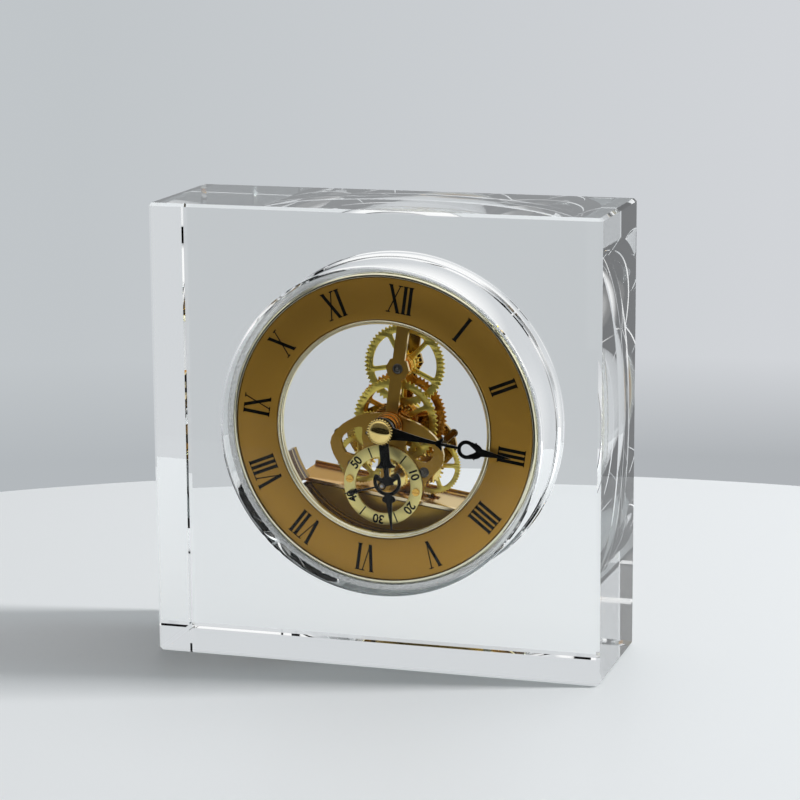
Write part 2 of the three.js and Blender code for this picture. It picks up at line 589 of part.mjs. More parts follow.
// Lower housing: a half-moon tray with a recessed front panel and two screw posts, under the shelf
const lowerArc = (radius, level, steps) => {
  const lift = Math.asin(-level / radius) / degrees;
  const step = (180 - 2 * lift) / steps;
  return Array.from({ length: steps + 1 }, (_, i) => polar(radius, 180 + lift + step * i));
};
const coverPosts = {
  left: [-COVER_POST_PLACE[0], COVER_POST_PLACE[1]],
  right: COVER_POST_PLACE,
};
const coverFront = HOUSING_REAR_DEPTH - REAR_COVER_THICKNESS;
const housingFront = shoulderBack + SEAT_GAP;
const panelBack = HOUSING_PANEL_DEPTH + HOUSING_WALL;
piece('movement_housing', join(
  plate(
    outline([...lowerArc(HOUSING_OUTER, housingTop, 32), ...lowerArc(housingInner, housingTop, 32).reverse()]),
    housingFront, HOUSING_REAR_DEPTH - housingFront,
  ),
  plate(outline(lowerArc(housingInner + HOUSING_WALL / 2, housingTop, 32)), HOUSING_PANEL_DEPTH, HOUSING_WALL),
  ...Object.values(coverPosts).map((place) => disc(
    place, COVER_POST_RADIUS, HOUSING_PANEL_DEPTH + HOUSING_WALL / 2,
    coverFront - SEAT_GAP - HOUSING_PANEL_DEPTH - HOUSING_WALL / 2, 16,
  )),
), satinGold);

const slotMargin = 0.5;
const secondsPinionFront = rightWheelDepth - PINION_OVERLAP;
const secondsPinionBack = driveWheelDepth + WHEEL_THICKNESS + PINION_OVERLAP;
const slotLeft = secondsArbor[0] - secondsPinionRadius - slotMargin;
const slotRight = driveArbor[0] + driveRadius + 2 * slotMargin;
const shelfDepth = HOUSING_REAR_DEPTH - HOUSING_PANEL_DEPTH;
const shelfHeight = SHELF_THICKNESS + SHELF_LIP;
piece('shelf_plate', cut(
  join(
    box(
      [0, (shelfTop + shelfBottom) / 2], [2 * SHELF_HALF_WIDTH, SHELF_THICKNESS, shelfDepth],
      HOUSING_PANEL_DEPTH,
    ),
    box(
      [0, shelfBottom + shelfHeight / 2], [2 * SHELF_HALF_WIDTH, shelfHeight, SHELF_LIP],
      HOUSING_REAR_DEPTH - SHELF_LIP,
    ),
  ),
  box(
    [(slotLeft + slotRight) / 2, shelfTop], [slotRight - slotLeft, 4 * SHELF_THICKNESS,
      secondsPinionBack - secondsPinionFront + 2 * slotMargin], secondsPinionFront - slotMargin,
  ),
), copper);

// Rear cover with its screws and the pull-out battery cover
const batteryHole = CELL_RADIUS + BATTERY_HOLE_MARGIN;
const coverScrewHole = SCREW_SHANK_RADIUS + RUNNING_GAP;
piece('rear_cover', cut(
  plate(outline(lowerArc(housingInner - SEAT_GAP, housingTop, 32)), coverFront, REAR_COVER_THICKNESS),
  disc(CELL_PLACE, batteryHole, coverFront - 1, REAR_COVER_THICKNESS + 2, 32),
  ...Object.values(coverPosts).map((place) => disc(
    place, coverScrewHole, coverFront - 1, REAR_COVER_THICKNESS + 2, 12,
  )),
), blackPlastic);
for (const [side, place] of Object.entries(coverPosts)) {
  const screw = slottedScrew(
    place, SCREW_HEAD_RADIUS, 0, SCREW_HEAD_HEIGHT, SCREW_SHANK_RADIUS, REAR_COVER_THICKNESS - SEAT_GAP,
  );
  screw.translate(-place[0], 0, -place[1]);
  screw.rotateZ(Math.PI);
  screw.translate(place[0], HOUSING_REAR_DEPTH + RECESS + SCREW_HEAD_HEIGHT, place[1]);
  piece(`rear_screw_${side}`, screw, steel);
}
piece('battery_cover', join(
  disc(CELL_PLACE, batteryHole - SEAT_GAP, coverFront, REAR_COVER_THICKNESS, 32),
  box(
    CELL_PLACE, [...BATTERY_GRIP, REAR_COVER_THICKNESS / 2 + BATTERY_GRIP_RISE],
    coverFront + REAR_COVER_THICKNESS / 2,
  ),
), blackPlastic);

// Quartz drive: board, coil and core, crystal can, cell and its contacts, sealed drive unit
const boardDepth = panelBack + BOARD_STANDOFF;
const boardBack = boardDepth + BOARD_SIZE[2];
piece('circuit_board', box(BOARD_PLACE, BOARD_SIZE, boardDepth), greenBoard);
const coilDepth = boardBack + RUNNING_GAP + COIL_RADIUS;
const acrossTube = (place, depth, radius, bore, length) => {
  const body = bore > 0 ? tube(centre, radius, bore, -length / 2, length, 24)
    : disc(centre, radius, -length / 2, length, 24);
  body.rotateZ(Math.PI / 2);
  body.translate(place[0], depth, place[1]);
  return body;
};
piece('drive_coil', acrossTube(COIL_PLACE, coilDepth, COIL_RADIUS, CORE_SIDE, COIL_LENGTH), copper);
const coreSize = [COIL_LENGTH + 2 * CORE_OVERHANG, CORE_SIDE, CORE_SIDE];
piece('coil_core', box(COIL_PLACE, coreSize, coilDepth - CORE_SIDE / 2), steel);
piece('quartz_can', acrossTube(
  CRYSTAL_CAN_PLACE, boardBack + RUNNING_GAP + CRYSTAL_CAN_RADIUS, CRYSTAL_CAN_RADIUS, 0, CRYSTAL_CAN_LENGTH,
), steel);
const cellFront = coverFront - SEAT_GAP - CELL_THICKNESS;
piece('button_cell', disc(CELL_PLACE, CELL_RADIUS, cellFront, CELL_THICKNESS, 32), steel);
const contactLegFront = boardBack + RUNNING_GAP;
const minusPadFront = cellFront - SEAT_GAP - CONTACT_SHEET;
const minusLeg = add(CELL_PLACE, [CELL_RADIUS - 0.75, 1.1]);
piece('minus_contact', join(
  box(add(CELL_PLACE, [0.5, 0]), [6.6, 4, CONTACT_SHEET], minusPadFront),
  box(minusLeg, [0.8, 1, minusPadFront + CONTACT_SHEET / 2 - contactLegFront], contactLegFront),
), brass);
piece('plus_contact', box(
  add(CELL_PLACE, [CELL_RADIUS + 0.45, 1.5]), [CONTACT_SHEET, 1.2, coverFront - SEAT_GAP - contactLegFront],
  contactLegFront,
), brass);
const driveUnitFront = driveWheelDepth + WHEEL_THICKNESS + 3 * SEAT_GAP;
const driveUnitDepth = coverFront - SEAT_GAP - driveUnitFront;
const driveUnitPlace = [driveArbor[0], housingTop - DRIVE_UNIT_SIZE[1] / 2];
piece('drive_unit', cut(
  box(driveUnitPlace, [...DRIVE_UNIT_SIZE, driveUnitDepth], driveUnitFront),
  disc(driveArbor, ARBOR_RADIUS + RUNNING_GAP, driveUnitFront - 1, DRIVE_BORE_DEPTH + 1, 16),
), blackPlastic);

// Motion stud in the front plate
const studFront = FRONT_PLATE_DEPTH + 2 * RECESS;
piece('motion_stud', disc(motionStud, ARBOR_RADIUS, studFront, cannonBack + SEAT_GAP - studFront, 16), steel);

// Hands: drawn along +x from the arbor, then turned to their place on the dial
const mirrored = (half) => [...half, ...half.map(([x, y]) => [x, -y]).reverse()];
function handAt(geometry, clockAngle, place = centre) {
  geometry.rotateY(((clockAngle - 90) * Math.PI) / 180);
  geometry.translate(place[0], 0, place[1]);
  return geometry;
}

function minuteHand() {
  const tip = MINUTE_HAND_LENGTH;
  const blade = withHoles(outline(sized(mirrored([
    [0.082, 0.045], [0.436, 0.023], [0.455, 0.066], [0.475, 0.02], [0.495, 0.013], [0.559, 0.014],
    [0.58, 0.03], [0.605, 0.057], [0.643, 0.068], [0.682, 0.061], [0.709, 0.052], [0.718, 0.077],
    [0.736, 0.045], [0.761, 0.027], [0.818, 0.018], [1, 0.003],
  ]), tip)), sized(mirrored([
    [0.614, 0.007], [0.623, 0.03], [0.645, 0.043], [0.673, 0.036], [0.695, 0.018], [0.716, 0.003],
  ]), tip));
  const hub = disc(centre, HAND_HUB_RADIUS, MINUTE_HAND_DEPTH, HAND_THICKNESS, 32);
  return cut(
    join(plate(blade, MINUTE_HAND_DEPTH, HAND_THICKNESS), hub),
    disc(centre, CENTRE_ARBOR_RADIUS + RUNNING_GAP, MINUTE_HAND_DEPTH - 1, HAND_THICKNESS + 2, 16),
  );
}

function hourHand() {
  const tip = HOUR_HAND_LENGTH;
  const part = (points) => plate(outline(sized(points, tip)), hourHandDepth, HAND_THICKNESS);
  const neck = part(mirrored([
    [0.092, 0.046], [0.326, 0.046], [0.36, 0.095], [0.378, 0.037], [0.412, 0.025], [0.443, 0.031],
    [0.468, 0.046], [0.505, 0.037], [0.523, 0.006],
  ]));
  const gapHalf = 38;
  const arc = (radius, from, to, steps) => Array.from(
    { length: steps + 1 }, (_, i) => add([0.517, 0], polar(radius, from + ((to - from) * i) / steps)),
  );
  const crescent = part([
    ...arc(0.151, gapHalf - 180, 180 - gapHalf, 20), ...arc(0.105, 180 - gapHalf, gapHalf - 180, 20),
  ]);
  const bridge = part(mirrored([[0.452, 0.12], [0.477, 0.12]]));
  const spike = part(mirrored([
    [0.652, 0.025], [0.665, 0.046], [0.689, 0.058], [0.714, 0.046], [0.732, 0.028], [0.769, 0.031], [1, 0.004],
  ]));
  const hub = disc(centre, HAND_HUB_RADIUS - SEAT_GAP, hourHandDepth, HAND_THICKNESS, 24);
  return cut(
    join(hub, neck, crescent, bridge, spike),
    disc(centre, hourBore, hourHandDepth - 1, HAND_THICKNESS + 2, 16),
  );
}

function secondsHand() {
  const blade = plate(outline(sized(mirrored([
    [0.074, 0.026], [0.662, 0.018], [0.676, 0.066], [0.853, 0.059], [0.875, 0.018], [1, 0.007],
  ]), SECONDS_HAND_LENGTH)), secondsHandDepth, HAND_THICKNESS);
  return cut(
    join(blade, disc(centre, SECONDS_HUB_RADIUS, secondsHandDepth, HAND_THICKNESS, 24)),
    disc(centre, ARBOR_RADIUS + RUNNING_GAP, secondsHandDepth - 1, HAND_THICKNESS + 2, 16),
  );
}
piece('minute_hand', handAt(minuteHand(), MINUTE_HAND_ANGLE), blackPaint);
piece('hour_hand', handAt(hourHand(), HOUR_HAND_ANGLE), blackPaint);
piece('seconds_hand', handAt(secondsHand(), SECONDS_HAND_ANGLE, secondsArbor), blackPaint);

// Domed hand nut with a knurled skirt
function handNut() {
  const back = MINUTE_HAND_DEPTH - SEAT_GAP;
  const skirtFront = back - NUT_SKIRT;
  const domeRadius = NUT_RADIUS - NUT_KNURL_DEPTH - RECESS;
  const domeBack = skirtFront + RECESS;
  const domeHeight = NUT_HEIGHT - NUT_SKIRT + RECESS;
  const steps = 5;
  const dome = Array.from({ length: steps + 1 }, (_, i) => {
    const lean = (i * 90 * degrees) / steps;
    return [domeRadius * Math.sin(lean), domeBack - domeHeight * Math.cos(lean)];
  });
  const knurls = Array.from({ length: 2 * NUT_KNURLS }, (_, i) => polar(
    i % 2 ? NUT_RADIUS : NUT_RADIUS - NUT_KNURL_DEPTH, (180 * i) / NUT_KNURLS,
  ));
  return cut(
    join(turned(centre, [...dome, [0, domeBack]], 24), plate(outline(knurls), skirtFront, NUT_SKIRT)),
    disc(centre, CENTRE_ARBOR_RADIUS + RUNNING_GAP, skirtFront, NUT_SKIRT + 1, 16),
  );
}
piece('hand_nut', handNut(), polishedGold);

// Minute body: centre arbor, cannon pinion, great wheel and the setting knob at the back
const arborFront = MINUTE_HAND_DEPTH - SEAT_GAP - NUT_SKIRT + 2 * RECESS;
piece('centre_arbor', disc(
  centre, CENTRE_ARBOR_RADIUS, arborFront, knobDepth + KNOB_THICKNESS / 2 - arborFront, 16,
), steel);
piece('cannon_pinion', join(
  tube(centre, cannonOuter, cannonBore, cannonFront, cannonBack - cannonFront, 12),
  pinion({
    centre, teeth: CANNON_TEETH, radius: cannonRadius, phase: 0, front: cannonPinionFront,
    thickness: cannonBack - cannonPinionFront, bore: cannonBore,
  }),
), brass);
const barrelFront = middlePinionBack + SEAT_GAP;
piece('great_wheel', join(
  spokedWheel({
    centre, teeth: GREAT_TEETH, radius: greatRadius, phase: 0, front: greatWheelDepth,
    bore: cannonBore, hub: GREAT_HUB, rim: GREAT_RIM, turn: 20,
  }),
  tube(centre, BARREL_RADIUS, cannonBore, barrelFront, greatWheelDepth + WHEEL_THICKNESS - barrelFront, 24),
), copper);
const knobOutline = Array.from({ length: 2 * KNOB_RIBS }, (_, i) => polar(
  i % 2 ? KNOB_RADIUS : KNOB_RADIUS - KNOB_RIB_DEPTH, (180 * i) / KNOB_RIBS,
));
piece('setting_knob', cut(
  plate(outline(knobOutline), knobDepth, KNOB_THICKNESS),
  disc(centre, CENTRE_ARBOR_RADIUS + RUNNING_GAP, knobDepth - 1, KNOB_THICKNESS / 2 + 1 + SEAT_GAP, 16),
), brass);

// Motion work: the hour wheel has a broad boss on both faces
const hourBossFront = frontPlateBack + SEAT_GAP;
const hourBossBack = motionWheelDepth - 2 * RUNNING_GAP;
piece('hour_wheel', join(
  tube(centre, hourOuter, hourBore, hourPipeFront, hourWheelDepth - hourPipeFront, 16),
  tube(centre, HOUR_BOSS_RADIUS, hourBore, hourBossFront, hourBossBack - hourBossFront, 16),
  plate(
    withHoles(
      outline(toothedOutline(centre, HOUR_TEETH, hourRadius, wheelTooth, hourPhase)),
      circlePoints(centre, hourBore, 16),
    ), hourWheelDepth, WHEEL_THICKNESS,
  ),
), copper);
piece('motion_wheel', join(
  plate(
    withHoles(
      outline(toothedOutline(motionStud, MOTION_TEETH, motionRadius, wheelTooth, motionPhase)),
      circlePoints(motionStud, ARBOR_RADIUS + RUNNING_GAP, 16),
    ), motionWheelDepth, WHEEL_THICKNESS,
  ),
  pinion({
    centre: motionStud, teeth: MOTION_PINION_TEETH, radius: motionPinionRadius, phase: 0,
    front: motionPinionFront, thickness: motionWheelDepth + RECESS - motionPinionFront,
    bore: ARBOR_RADIUS + RUNNING_GAP,
  }),
), brass);

// Middle wheel and pinion, riding on a flanged pipe round the centre arbor
const middlePipeFront = cannonBack + SEAT_GAP;
const middleFlangeBack = middleWheelDepth - SEAT_GAP;
piece('middle_pinion', join(
  tube(centre, middlePipeOuter, cannonBore, middlePipeFront, middlePinionBack - middlePipeFront, 12),
  tube(centre, MIDDLE_HUB, cannonBore, middlePipeFront, middleFlangeBack - middlePipeFront, 24),
  pinion({
    centre, teeth: MIDDLE_PINION_TEETH, radius: middlePinionRadius, phase: middlePinionPhase,
    front: middlePinionFront, thickness: pinionThickness, bore: cannonBore,
  }),
), brass);
piece('middle_wheel', spokedWheel({
  centre, teeth: MIDDLE_TEETH, radius: middleRadius, phase: 0, front: middleWheelDepth,
  bore: middlePipeOuter + RUNNING_GAP, hub: MIDDLE_HUB, rim: MIDDLE_RIM, turn: 64,
}), brass);

// Arbors that run from plate to plate, each with a pinion and a wheel
const arborStart = FRONT_PLATE_DEPTH + capSeatDepth + RECESS;
const arborEnd = rearPlateBack - 2 * RECESS;
const arborLength = arborEnd - arborStart;
const wheelBore = ARBOR_RADIUS + RUNNING_GAP;
piece('top_arbor', disc(topArbor, ARBOR_RADIUS, arborStart, arborLength, 16), steel);
piece('top_wheel', spokedWheel({
  centre: topArbor, teeth: TOP_TEETH, radius: topRadius, phase: 0, front: topWheelDepth,
  bore: wheelBore, hub: TOP_HUB, rim: TOP_RIM, turn: 54,
}), brass);
const colletFront = topWheelDepth + WHEEL_THICKNESS + SEAT_GAP;
piece('top_pinion', join(
  tube(topArbor, COLLET_RADIUS, wheelBore, colletFront, greatWheelDepth - colletFront, 20),
  pinion({
    centre: topArbor, teeth: LIFT_PINION_TEETH, radius: liftPinionRadius, phase: topPinionPhase,
    front: greatWheelDepth - PINION_OVERLAP, thickness: pinionThickness, bore: wheelBore,
  }),
), brass);
piece('right_arbor', disc(rightArbor, ARBOR_RADIUS, arborStart, arborLength, 16), steel);
piece('right_wheel', spokedWheel({
  centre: rightArbor, teeth: RIGHT_TEETH, radius: rightRadius, phase: 0, front: rightWheelDepth,
  bore: wheelBore, hub: RIGHT_HUB, rim: RIGHT_RIM, spokeWidth: FINE_SPOKE_WIDTH, turn: 10,
}), brass);
piece('right_pinion', pinion({
  centre: rightArbor, teeth: RIGHT_PINION_TEETH, radius: rightPinionRadius, phase: rightPinionPhase,
  front: middleWheelDepth - PINION_OVERLAP, thickness: pinionThickness, bore: wheelBore,
}), brass);
piece('left_arbor', disc(leftArbor, ARBOR_RADIUS, arborStart, arborLength, 16), steel);
piece('left_wheel', spokedWheel({
  centre: leftArbor, teeth: LEFT_TEETH, radius: LEFT_PITCH_RADIUS, phase: 0,
  front: topWheelDepth, bore: wheelBore, hub: LEFT_HUB, rim: LEFT_RIM, spokeWidth: FINE_SPOKE_WIDTH,
  turn: 30,
}), brass);
piece('left_pinion', pinion({
  centre: leftArbor, teeth: LIFT_PINION_TEETH, radius: liftPinionRadius, phase: leftPinionPhase,
  front: greatWheelDepth - PINION_OVERLAP, thickness: pinionThickness, bore: wheelBore,
}), brass);
const secondsArborFront = secondsHandDepth - SEAT_GAP;
piece('seconds_arbor', disc(
  secondsArbor, ARBOR_RADIUS, secondsArborFront, arborEnd - secondsArborFront, 16,
), steel);
piece('seconds_pinion', pinion({
  centre: secondsArbor, teeth: SECONDS_PINION_TEETH, radius: secondsPinionRadius, phase: secondsPinionPhase,
  front: secondsPinionFront, thickness: secondsPinionBack - secondsPinionFront, bore: wheelBore,
}), brass);
const driveArborFront = driveWheelDepth - 1;
piece('drive_arbor', disc(
  driveArbor, ARBOR_RADIUS, driveArborFront, driveUnitFront + DRIVE_BORE_DEPTH - SEAT_GAP - driveArborFront, 16,
), steel);
piece('drive_wheel', spokedWheel({
  centre: driveArbor, teeth: DRIVE_TEETH, radius: driveRadius, phase: drivePhase, front: driveWheelDepth,
  bore: wheelBore, hub: DRIVE_HUB, rim: DRIVE_RIM, spokeWidth: FINE_SPOKE_WIDTH,
}), copper);

export default clock;
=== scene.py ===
import json
import math

import bmesh
import bpy
from mathutils import Matrix, Vector


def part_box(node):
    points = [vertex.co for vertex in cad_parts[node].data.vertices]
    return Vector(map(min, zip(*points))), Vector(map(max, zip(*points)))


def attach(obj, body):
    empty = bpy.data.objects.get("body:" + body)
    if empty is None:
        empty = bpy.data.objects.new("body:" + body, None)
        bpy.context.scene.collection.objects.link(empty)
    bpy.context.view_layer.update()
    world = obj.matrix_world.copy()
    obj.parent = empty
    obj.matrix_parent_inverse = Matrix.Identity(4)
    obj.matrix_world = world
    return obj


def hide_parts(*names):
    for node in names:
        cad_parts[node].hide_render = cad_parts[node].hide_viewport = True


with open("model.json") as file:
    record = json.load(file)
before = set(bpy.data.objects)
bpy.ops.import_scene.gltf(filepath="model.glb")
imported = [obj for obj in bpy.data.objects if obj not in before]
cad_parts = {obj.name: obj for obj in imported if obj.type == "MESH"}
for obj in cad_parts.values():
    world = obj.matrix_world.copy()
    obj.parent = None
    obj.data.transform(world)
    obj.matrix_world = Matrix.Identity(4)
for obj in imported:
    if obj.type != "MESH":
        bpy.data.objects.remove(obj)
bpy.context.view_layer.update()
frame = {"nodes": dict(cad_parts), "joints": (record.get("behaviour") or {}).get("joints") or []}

MM = 0.001

# Camera: it stands to the right of the dial and a little above it, with a long lens, as the block's
# edges in the photograph show.
AZIMUTH, ELEVATION, ROLL = 17.183, 11.754, -0.402
DISTANCE, LENS = 876.27 * MM, 124.16
AIM = Vector((9.635, -25.0, 89.710)) * MM


def placed(name, data):
    made = bpy.data.objects.new(name, data)
    bpy.context.scene.collection.objects.link(made)
    return made


camera = placed("camera", bpy.data.cameras.new("camera"))
bpy.context.scene.camera = camera
camera.data.sensor_width = 36.0
camera.data.lens = LENS
camera.data.clip_start = 0.01
turn, lift = math.radians(AZIMUTH), math.radians(ELEVATION)
towards = Vector((math.sin(turn) * math.cos(lift), -math.cos(turn) * math.cos(lift), math.sin(lift)))
camera.location = AIM + towards * DISTANCE
camera.rotation_mode = "QUATERNION"
camera.rotation_quaternion = (-towards).to_track_quat("-Z", "Y") @ Matrix.Rotation(
    math.radians(ROLL), 3, "Z").to_quaternion()
bpy.context.scene.view_settings.view_transform = "Standard"


# Studio: the back part of a pale round table top with a pale wall behind it. The room lights softly
# from above and from the right, and it is dark on the camera's side and below the table, which the
# gilt and the crystal's facets show.
TABLE_RADIUS, TABLE_AHEAD, TABLE_FRONT = 486 * MM, 652 * MM, -30 * MM
TABLE_GAP, TABLE_STEPS = 0.1 * MM, 100
TABLE_COLOUR = (0.80, 0.83, 0.85, 1)
# Wall tones: the wall is painted darker on the left and low down near the table, a painted shade of the
# room's light.
WALL_LEFT, WALL_RIGHT = (0.53, 0.56, 0.582, 1), (0.64, 0.66, 0.688, 1)
WALL_LOW_LEFT, WALL_LOW_RIGHT = (0.452, 0.48, 0.503, 1), (0.43, 0.452, 0.474, 1)
ROOM_BEHIND = (0.555, 0.578, 0.597, 1)
ROOM_BESIDE = (0.88, 0.89, 0.90, 1)
ROOM_HIGHER = (0.66, 0.68, 0.70, 1)
ROOM_FRONT = (0.12, 0.115, 0.11, 1)
ROOM_BELOW = (0.012, 0.012, 0.012, 1)
ROOM_ABOVE = (1.0, 1.0, 1.0, 1)
ROOM_DIMMED = (0.25, 0.25, 0.25, 1)


class Signal:
    """One output of a material's nodes. Arithmetic on it adds Math nodes to the same tree."""

    def __init__(self, tree, socket=None):
        self.tree = tree
        self.socket = socket

    def node(self, kind, settings=None, values=None, output=0):
        made = self.tree.nodes.new(kind)
        for name, value in (settings or {}).items():
            if name == "stops":
                ramp = made.color_ramp.elements
                while len(ramp) < len(value):
                    ramp.new(0.5)
                for stop, (place, colour) in zip(ramp, value):
                    stop.position = place
                    stop.color = colour
            else:
                setattr(made, name, value)
        for name, value in (values or {}).items():
            if isinstance(value, Signal):
                self.tree.links.new(value.socket, made.inputs[name])
            else:
                made.inputs[name].default_value = value
        return Signal(self.tree, made.outputs[output] if made.outputs else None)

    def other(self, output):
        """Another output of the node that this one comes from."""
        return Signal(self.tree, self.socket.node.outputs[output])

    def parts(self):
        split = self.node("ShaderNodeSeparateXYZ", values={0: self})
        return [split.other(i) for i in range(3)]

    def grain(self, scale, detail=2.0):
        return self.node("ShaderNodeTexNoise", values={"Vector": self, "Scale": scale, "Detail": detail})

    def math(self, operation, *values):
        return self.node("ShaderNodeMath", {"operation": operation}, dict(enumerate(values)))

    def __abs__(self):
        return self.math("ABSOLUTE", self)

    def __add__(self, other):
        return self.math("ADD", self, other)

    __radd__ = __add__

    def __sub__(self, other):
        return self.math("SUBTRACT", self, other)

    def __rsub__(self, other):
        return self.math("SUBTRACT", other, self)

    def __mul__(self, other):
        return self.math("MULTIPLY", self, other)

    __rmul__ = __mul__

    def __truediv__(self, other):
        return self.math("DIVIDE", self, other)

    def __rtruediv__(self, other):
        return self.math("DIVIDE", other, self)

    def clamped(self):
        return self.node("ShaderNodeClamp", values={"Value": self})

    def above(self, edge, width):
        return ((self - edge) / width).clamped()

    def blend(self, low, high):
        return self.node("ShaderNodeMix", {"data_type": "RGBA"}, {0: self, 6: low, 7: high}, output=2)


def object_from(name, vertices, faces):
    mesh = bpy.data.meshes.new(name)
    mesh.from_pydata([tuple(v) for v in vertices], [], faces)
    return placed(name, mesh)


def new_finish(name):
    """A new material, and the place on the object, from which its marks are worked out."""
    material = bpy.data.materials.new(name)
    material.use_nodes = True
    material.node_tree.nodes.clear()
    place = Signal(material.node_tree).node("ShaderNodeTexCoord", output="Object")
    return material, place


def put_out(surface):
    surface.node("ShaderNodeOutputMaterial", values={"Surface": surface})


def put_on(place, values):
    """The whole finish as one surface, from its colour, roughness and so on."""
    put_out(place.node("ShaderNodeBsdfPrincipled", values=values))


def shade(colour, share):
    return tuple(c * share for c in colour[:3]) + (1,)


def table_top():
    ahead = Vector((-towards.x, -towards.y, 0)).normalized()
    middle = Vector((camera.location.x, camera.location.y, 0)) + ahead * TABLE_AHEAD
    aside = Vector((ahead.y, -ahead.x, 0))
    reach = math.acos(TABLE_FRONT / TABLE_RADIUS)
    turns = [reach * (i / TABLE_STEPS - 1) for i in range(2 * TABLE_STEPS + 1)]
    rim = [
        middle + (ahead * math.cos(a) + aside * math.sin(a)) * TABLE_RADIUS - Vector((0, 0, TABLE_GAP))
        for a in turns]
    top = object_from("table_top", rim, [tuple(range(len(rim)))])
    material, place = new_finish("pale_table")
    put_on(place, {
        "Base Color": place.grain(3.0).blend(TABLE_COLOUR, shade(TABLE_COLOUR, 0.985)),
        "Roughness": 0.42, "Specular IOR Level": 0.25})
    top.data.materials.append(material)


def room():
    world = bpy.data.worlds.new("room")
    bpy.context.scene.world = world
    world.use_nodes = True
    world.node_tree.nodes.clear()
    made = Signal(world.node_tree)
    across, along, up = made.node("ShaderNodeTexCoord", output="Generated").parts()
    nearer = (0 - up).above(0.0, 0.03).blend(ROOM_FRONT, ROOM_BELOW)
    ahead = up.above(0.30, 0.35).blend(nearer, ROOM_ABOVE)
    nearby = across.above(0.05, 0.25).blend(ROOM_BEHIND, ROOM_HIGHER)
    beside = across.above(0.40, 0.30).blend(nearby, ROOM_BESIDE)
    higher = up.above(0.0, 0.30).blend(beside, ROOM_HIGHER)
    behind = up.above(0.36, 0.20).blend(higher, ROOM_ABOVE)
    studio = (0 - along).above(0.45, 0.35).blend(behind, ahead)
    # Painted shade on the wall seen behind: darker to the left and just above the table's edge.
    side = across.above(-0.40, 0.24)
    wall = up.above(-0.223, 0.035).blend(
        side.blend(WALL_LOW_LEFT, WALL_LOW_RIGHT), side.blend(WALL_LEFT, WALL_RIGHT))
    camera_ray = made.node("ShaderNodeLightPath", output="Is Camera Ray")
    mirrored_ray, through_ray = camera_ray.other("Is Glossy Ray"), camera_ray.other("Is Transmission Ray")
    dimmed = (mirrored_ray + through_ray).clamped().blend(ROOM_DIMMED, (1, 1, 1, 1))
    seen = camera_ray.blend(made.node("ShaderNodeMix", {"data_type": "RGBA", "blend_type": "MULTIPLY"}, {
        "Factor": 1.0, 6: studio, 7: dimmed}, output=2), wall)
    glow = made.node("ShaderNodeBackground", values={"Color": seen, "Strength": 1.0})
    made.node("ShaderNodeOutputWorld", values={"Surface": glow})


def lamp(name, place, aim, size, power):
    light = bpy.data.lights.new(name, "AREA")
    light.shape = "RECTANGLE"
    light.size, light.size_y = size
    light.energy = power
    made = placed(name, light)
    made.location = place
    made.rotation_mode = "QUATERNION"
    made.rotation_quaternion = (Vector(aim) - Vector(place)).to_track_quat("-Z", "Y")
    made.visible_transmission = False


table_top()
room()
lamp("window_light", place=(2.3, 0.6, 1.4), aim=(0, 0, 0.05), size=(0.42, 0.42), power=84)
lamp("overhead_light", place=(0.1, 0.45, 1.6), aim=(0, 0, 0), size=(1.0, 1.0), power=5)
lamp("dial_light", place=(0.02, -1.5, 0.12), aim=(0, 0, 0.077), size=(0.6, 0.6), power=1.6)


# Crystal block: clear optical crystal, cut square, with polished chamfers. A round blind pocket, a
# little wider near its mouth, is bored in from the back, so that the clock is seen through the solid
# front wall.
CHAMFER = 1.0 * MM
POCKET_RADIUS = 54.5
POCKET_FRONT, POCKET_STEP, POCKET_BACK = -5.0, 26.0, 34.0
INSERT_TURN = math.radians(8.1)
CRYSTAL_INDEX = 1.52
FACETS = 256
block_low, block_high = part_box("crystal_block")
arbor_line = Vector(frame["joints"][0]["pos_m"])
ring_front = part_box("chapter_ring")[0].y


def dressed(piece, material, body, slot, *nodes):
    piece.data.materials.append(material)
    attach(piece, body)
    if nodes:
        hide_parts(*nodes)


def soften(piece, angle):
    """Smooth shading, but for edges that are sharper than an angle."""
    piece.data.polygons.foreach_set("use_smooth", [True] * len(piece.data.polygons))
    piece.data.set_sharp_from_angle(angle=math.radians(angle))
    return piece


def welded(mesh, distance, faced_out=False):
    """Joins the points of a mesh that meet, and may turn its faces outwards."""
    work = bmesh.new()
    work.from_mesh(mesh)
    bmesh.ops.remove_doubles(work, verts=work.verts, dist=distance)
    if faced_out:
        bmesh.ops.recalc_face_normals(work, faces=work.faces)
    work.to_mesh(mesh)
    work.free()


def in_insert(across, depth, up):
    """A point of the insert, given across, behind the dial ring's face and up, in metres."""
    return Vector((
        arbor_line.x + across * math.cos(INSERT_TURN) + up * math.sin(INSERT_TURN),
        ring_front + depth,
        arbor_line.z - across * math.sin(INSERT_TURN) + up * math.cos(INSERT_TURN),
    ))


def turned(name, profile, centre=(0, 0), facets=FACETS, ripple=None, angle=35):
    """A ring or knob turned about an axis across the dial; profile holds (radius, depth) in mm."""
    vertices, faces = [], []
    count = len(profile)
    for i in range(facets):
        a = math.tau * i / facets
        for radius, depth in profile:
            r = radius + (ripple(i, radius) if ripple else 0)
            vertices.append(in_insert(
                (centre[0] + r * math.cos(a)) * MM, depth * MM, (centre[1] + r * math.sin(a)) * MM))
    closed = profile[0][0] != 0
    for i in range(facets):
        j = (i + 1) % facets
        for k in range(count if closed else count - 1):
            m = (k + 1) % count
            faces.append((i * count + k, i * count + m, j * count + m, j * count + k))
    made = object_from(name, vertices, faces)
    welded(made.data, 1e-7, faced_out=True)
    return soften(made, angle)


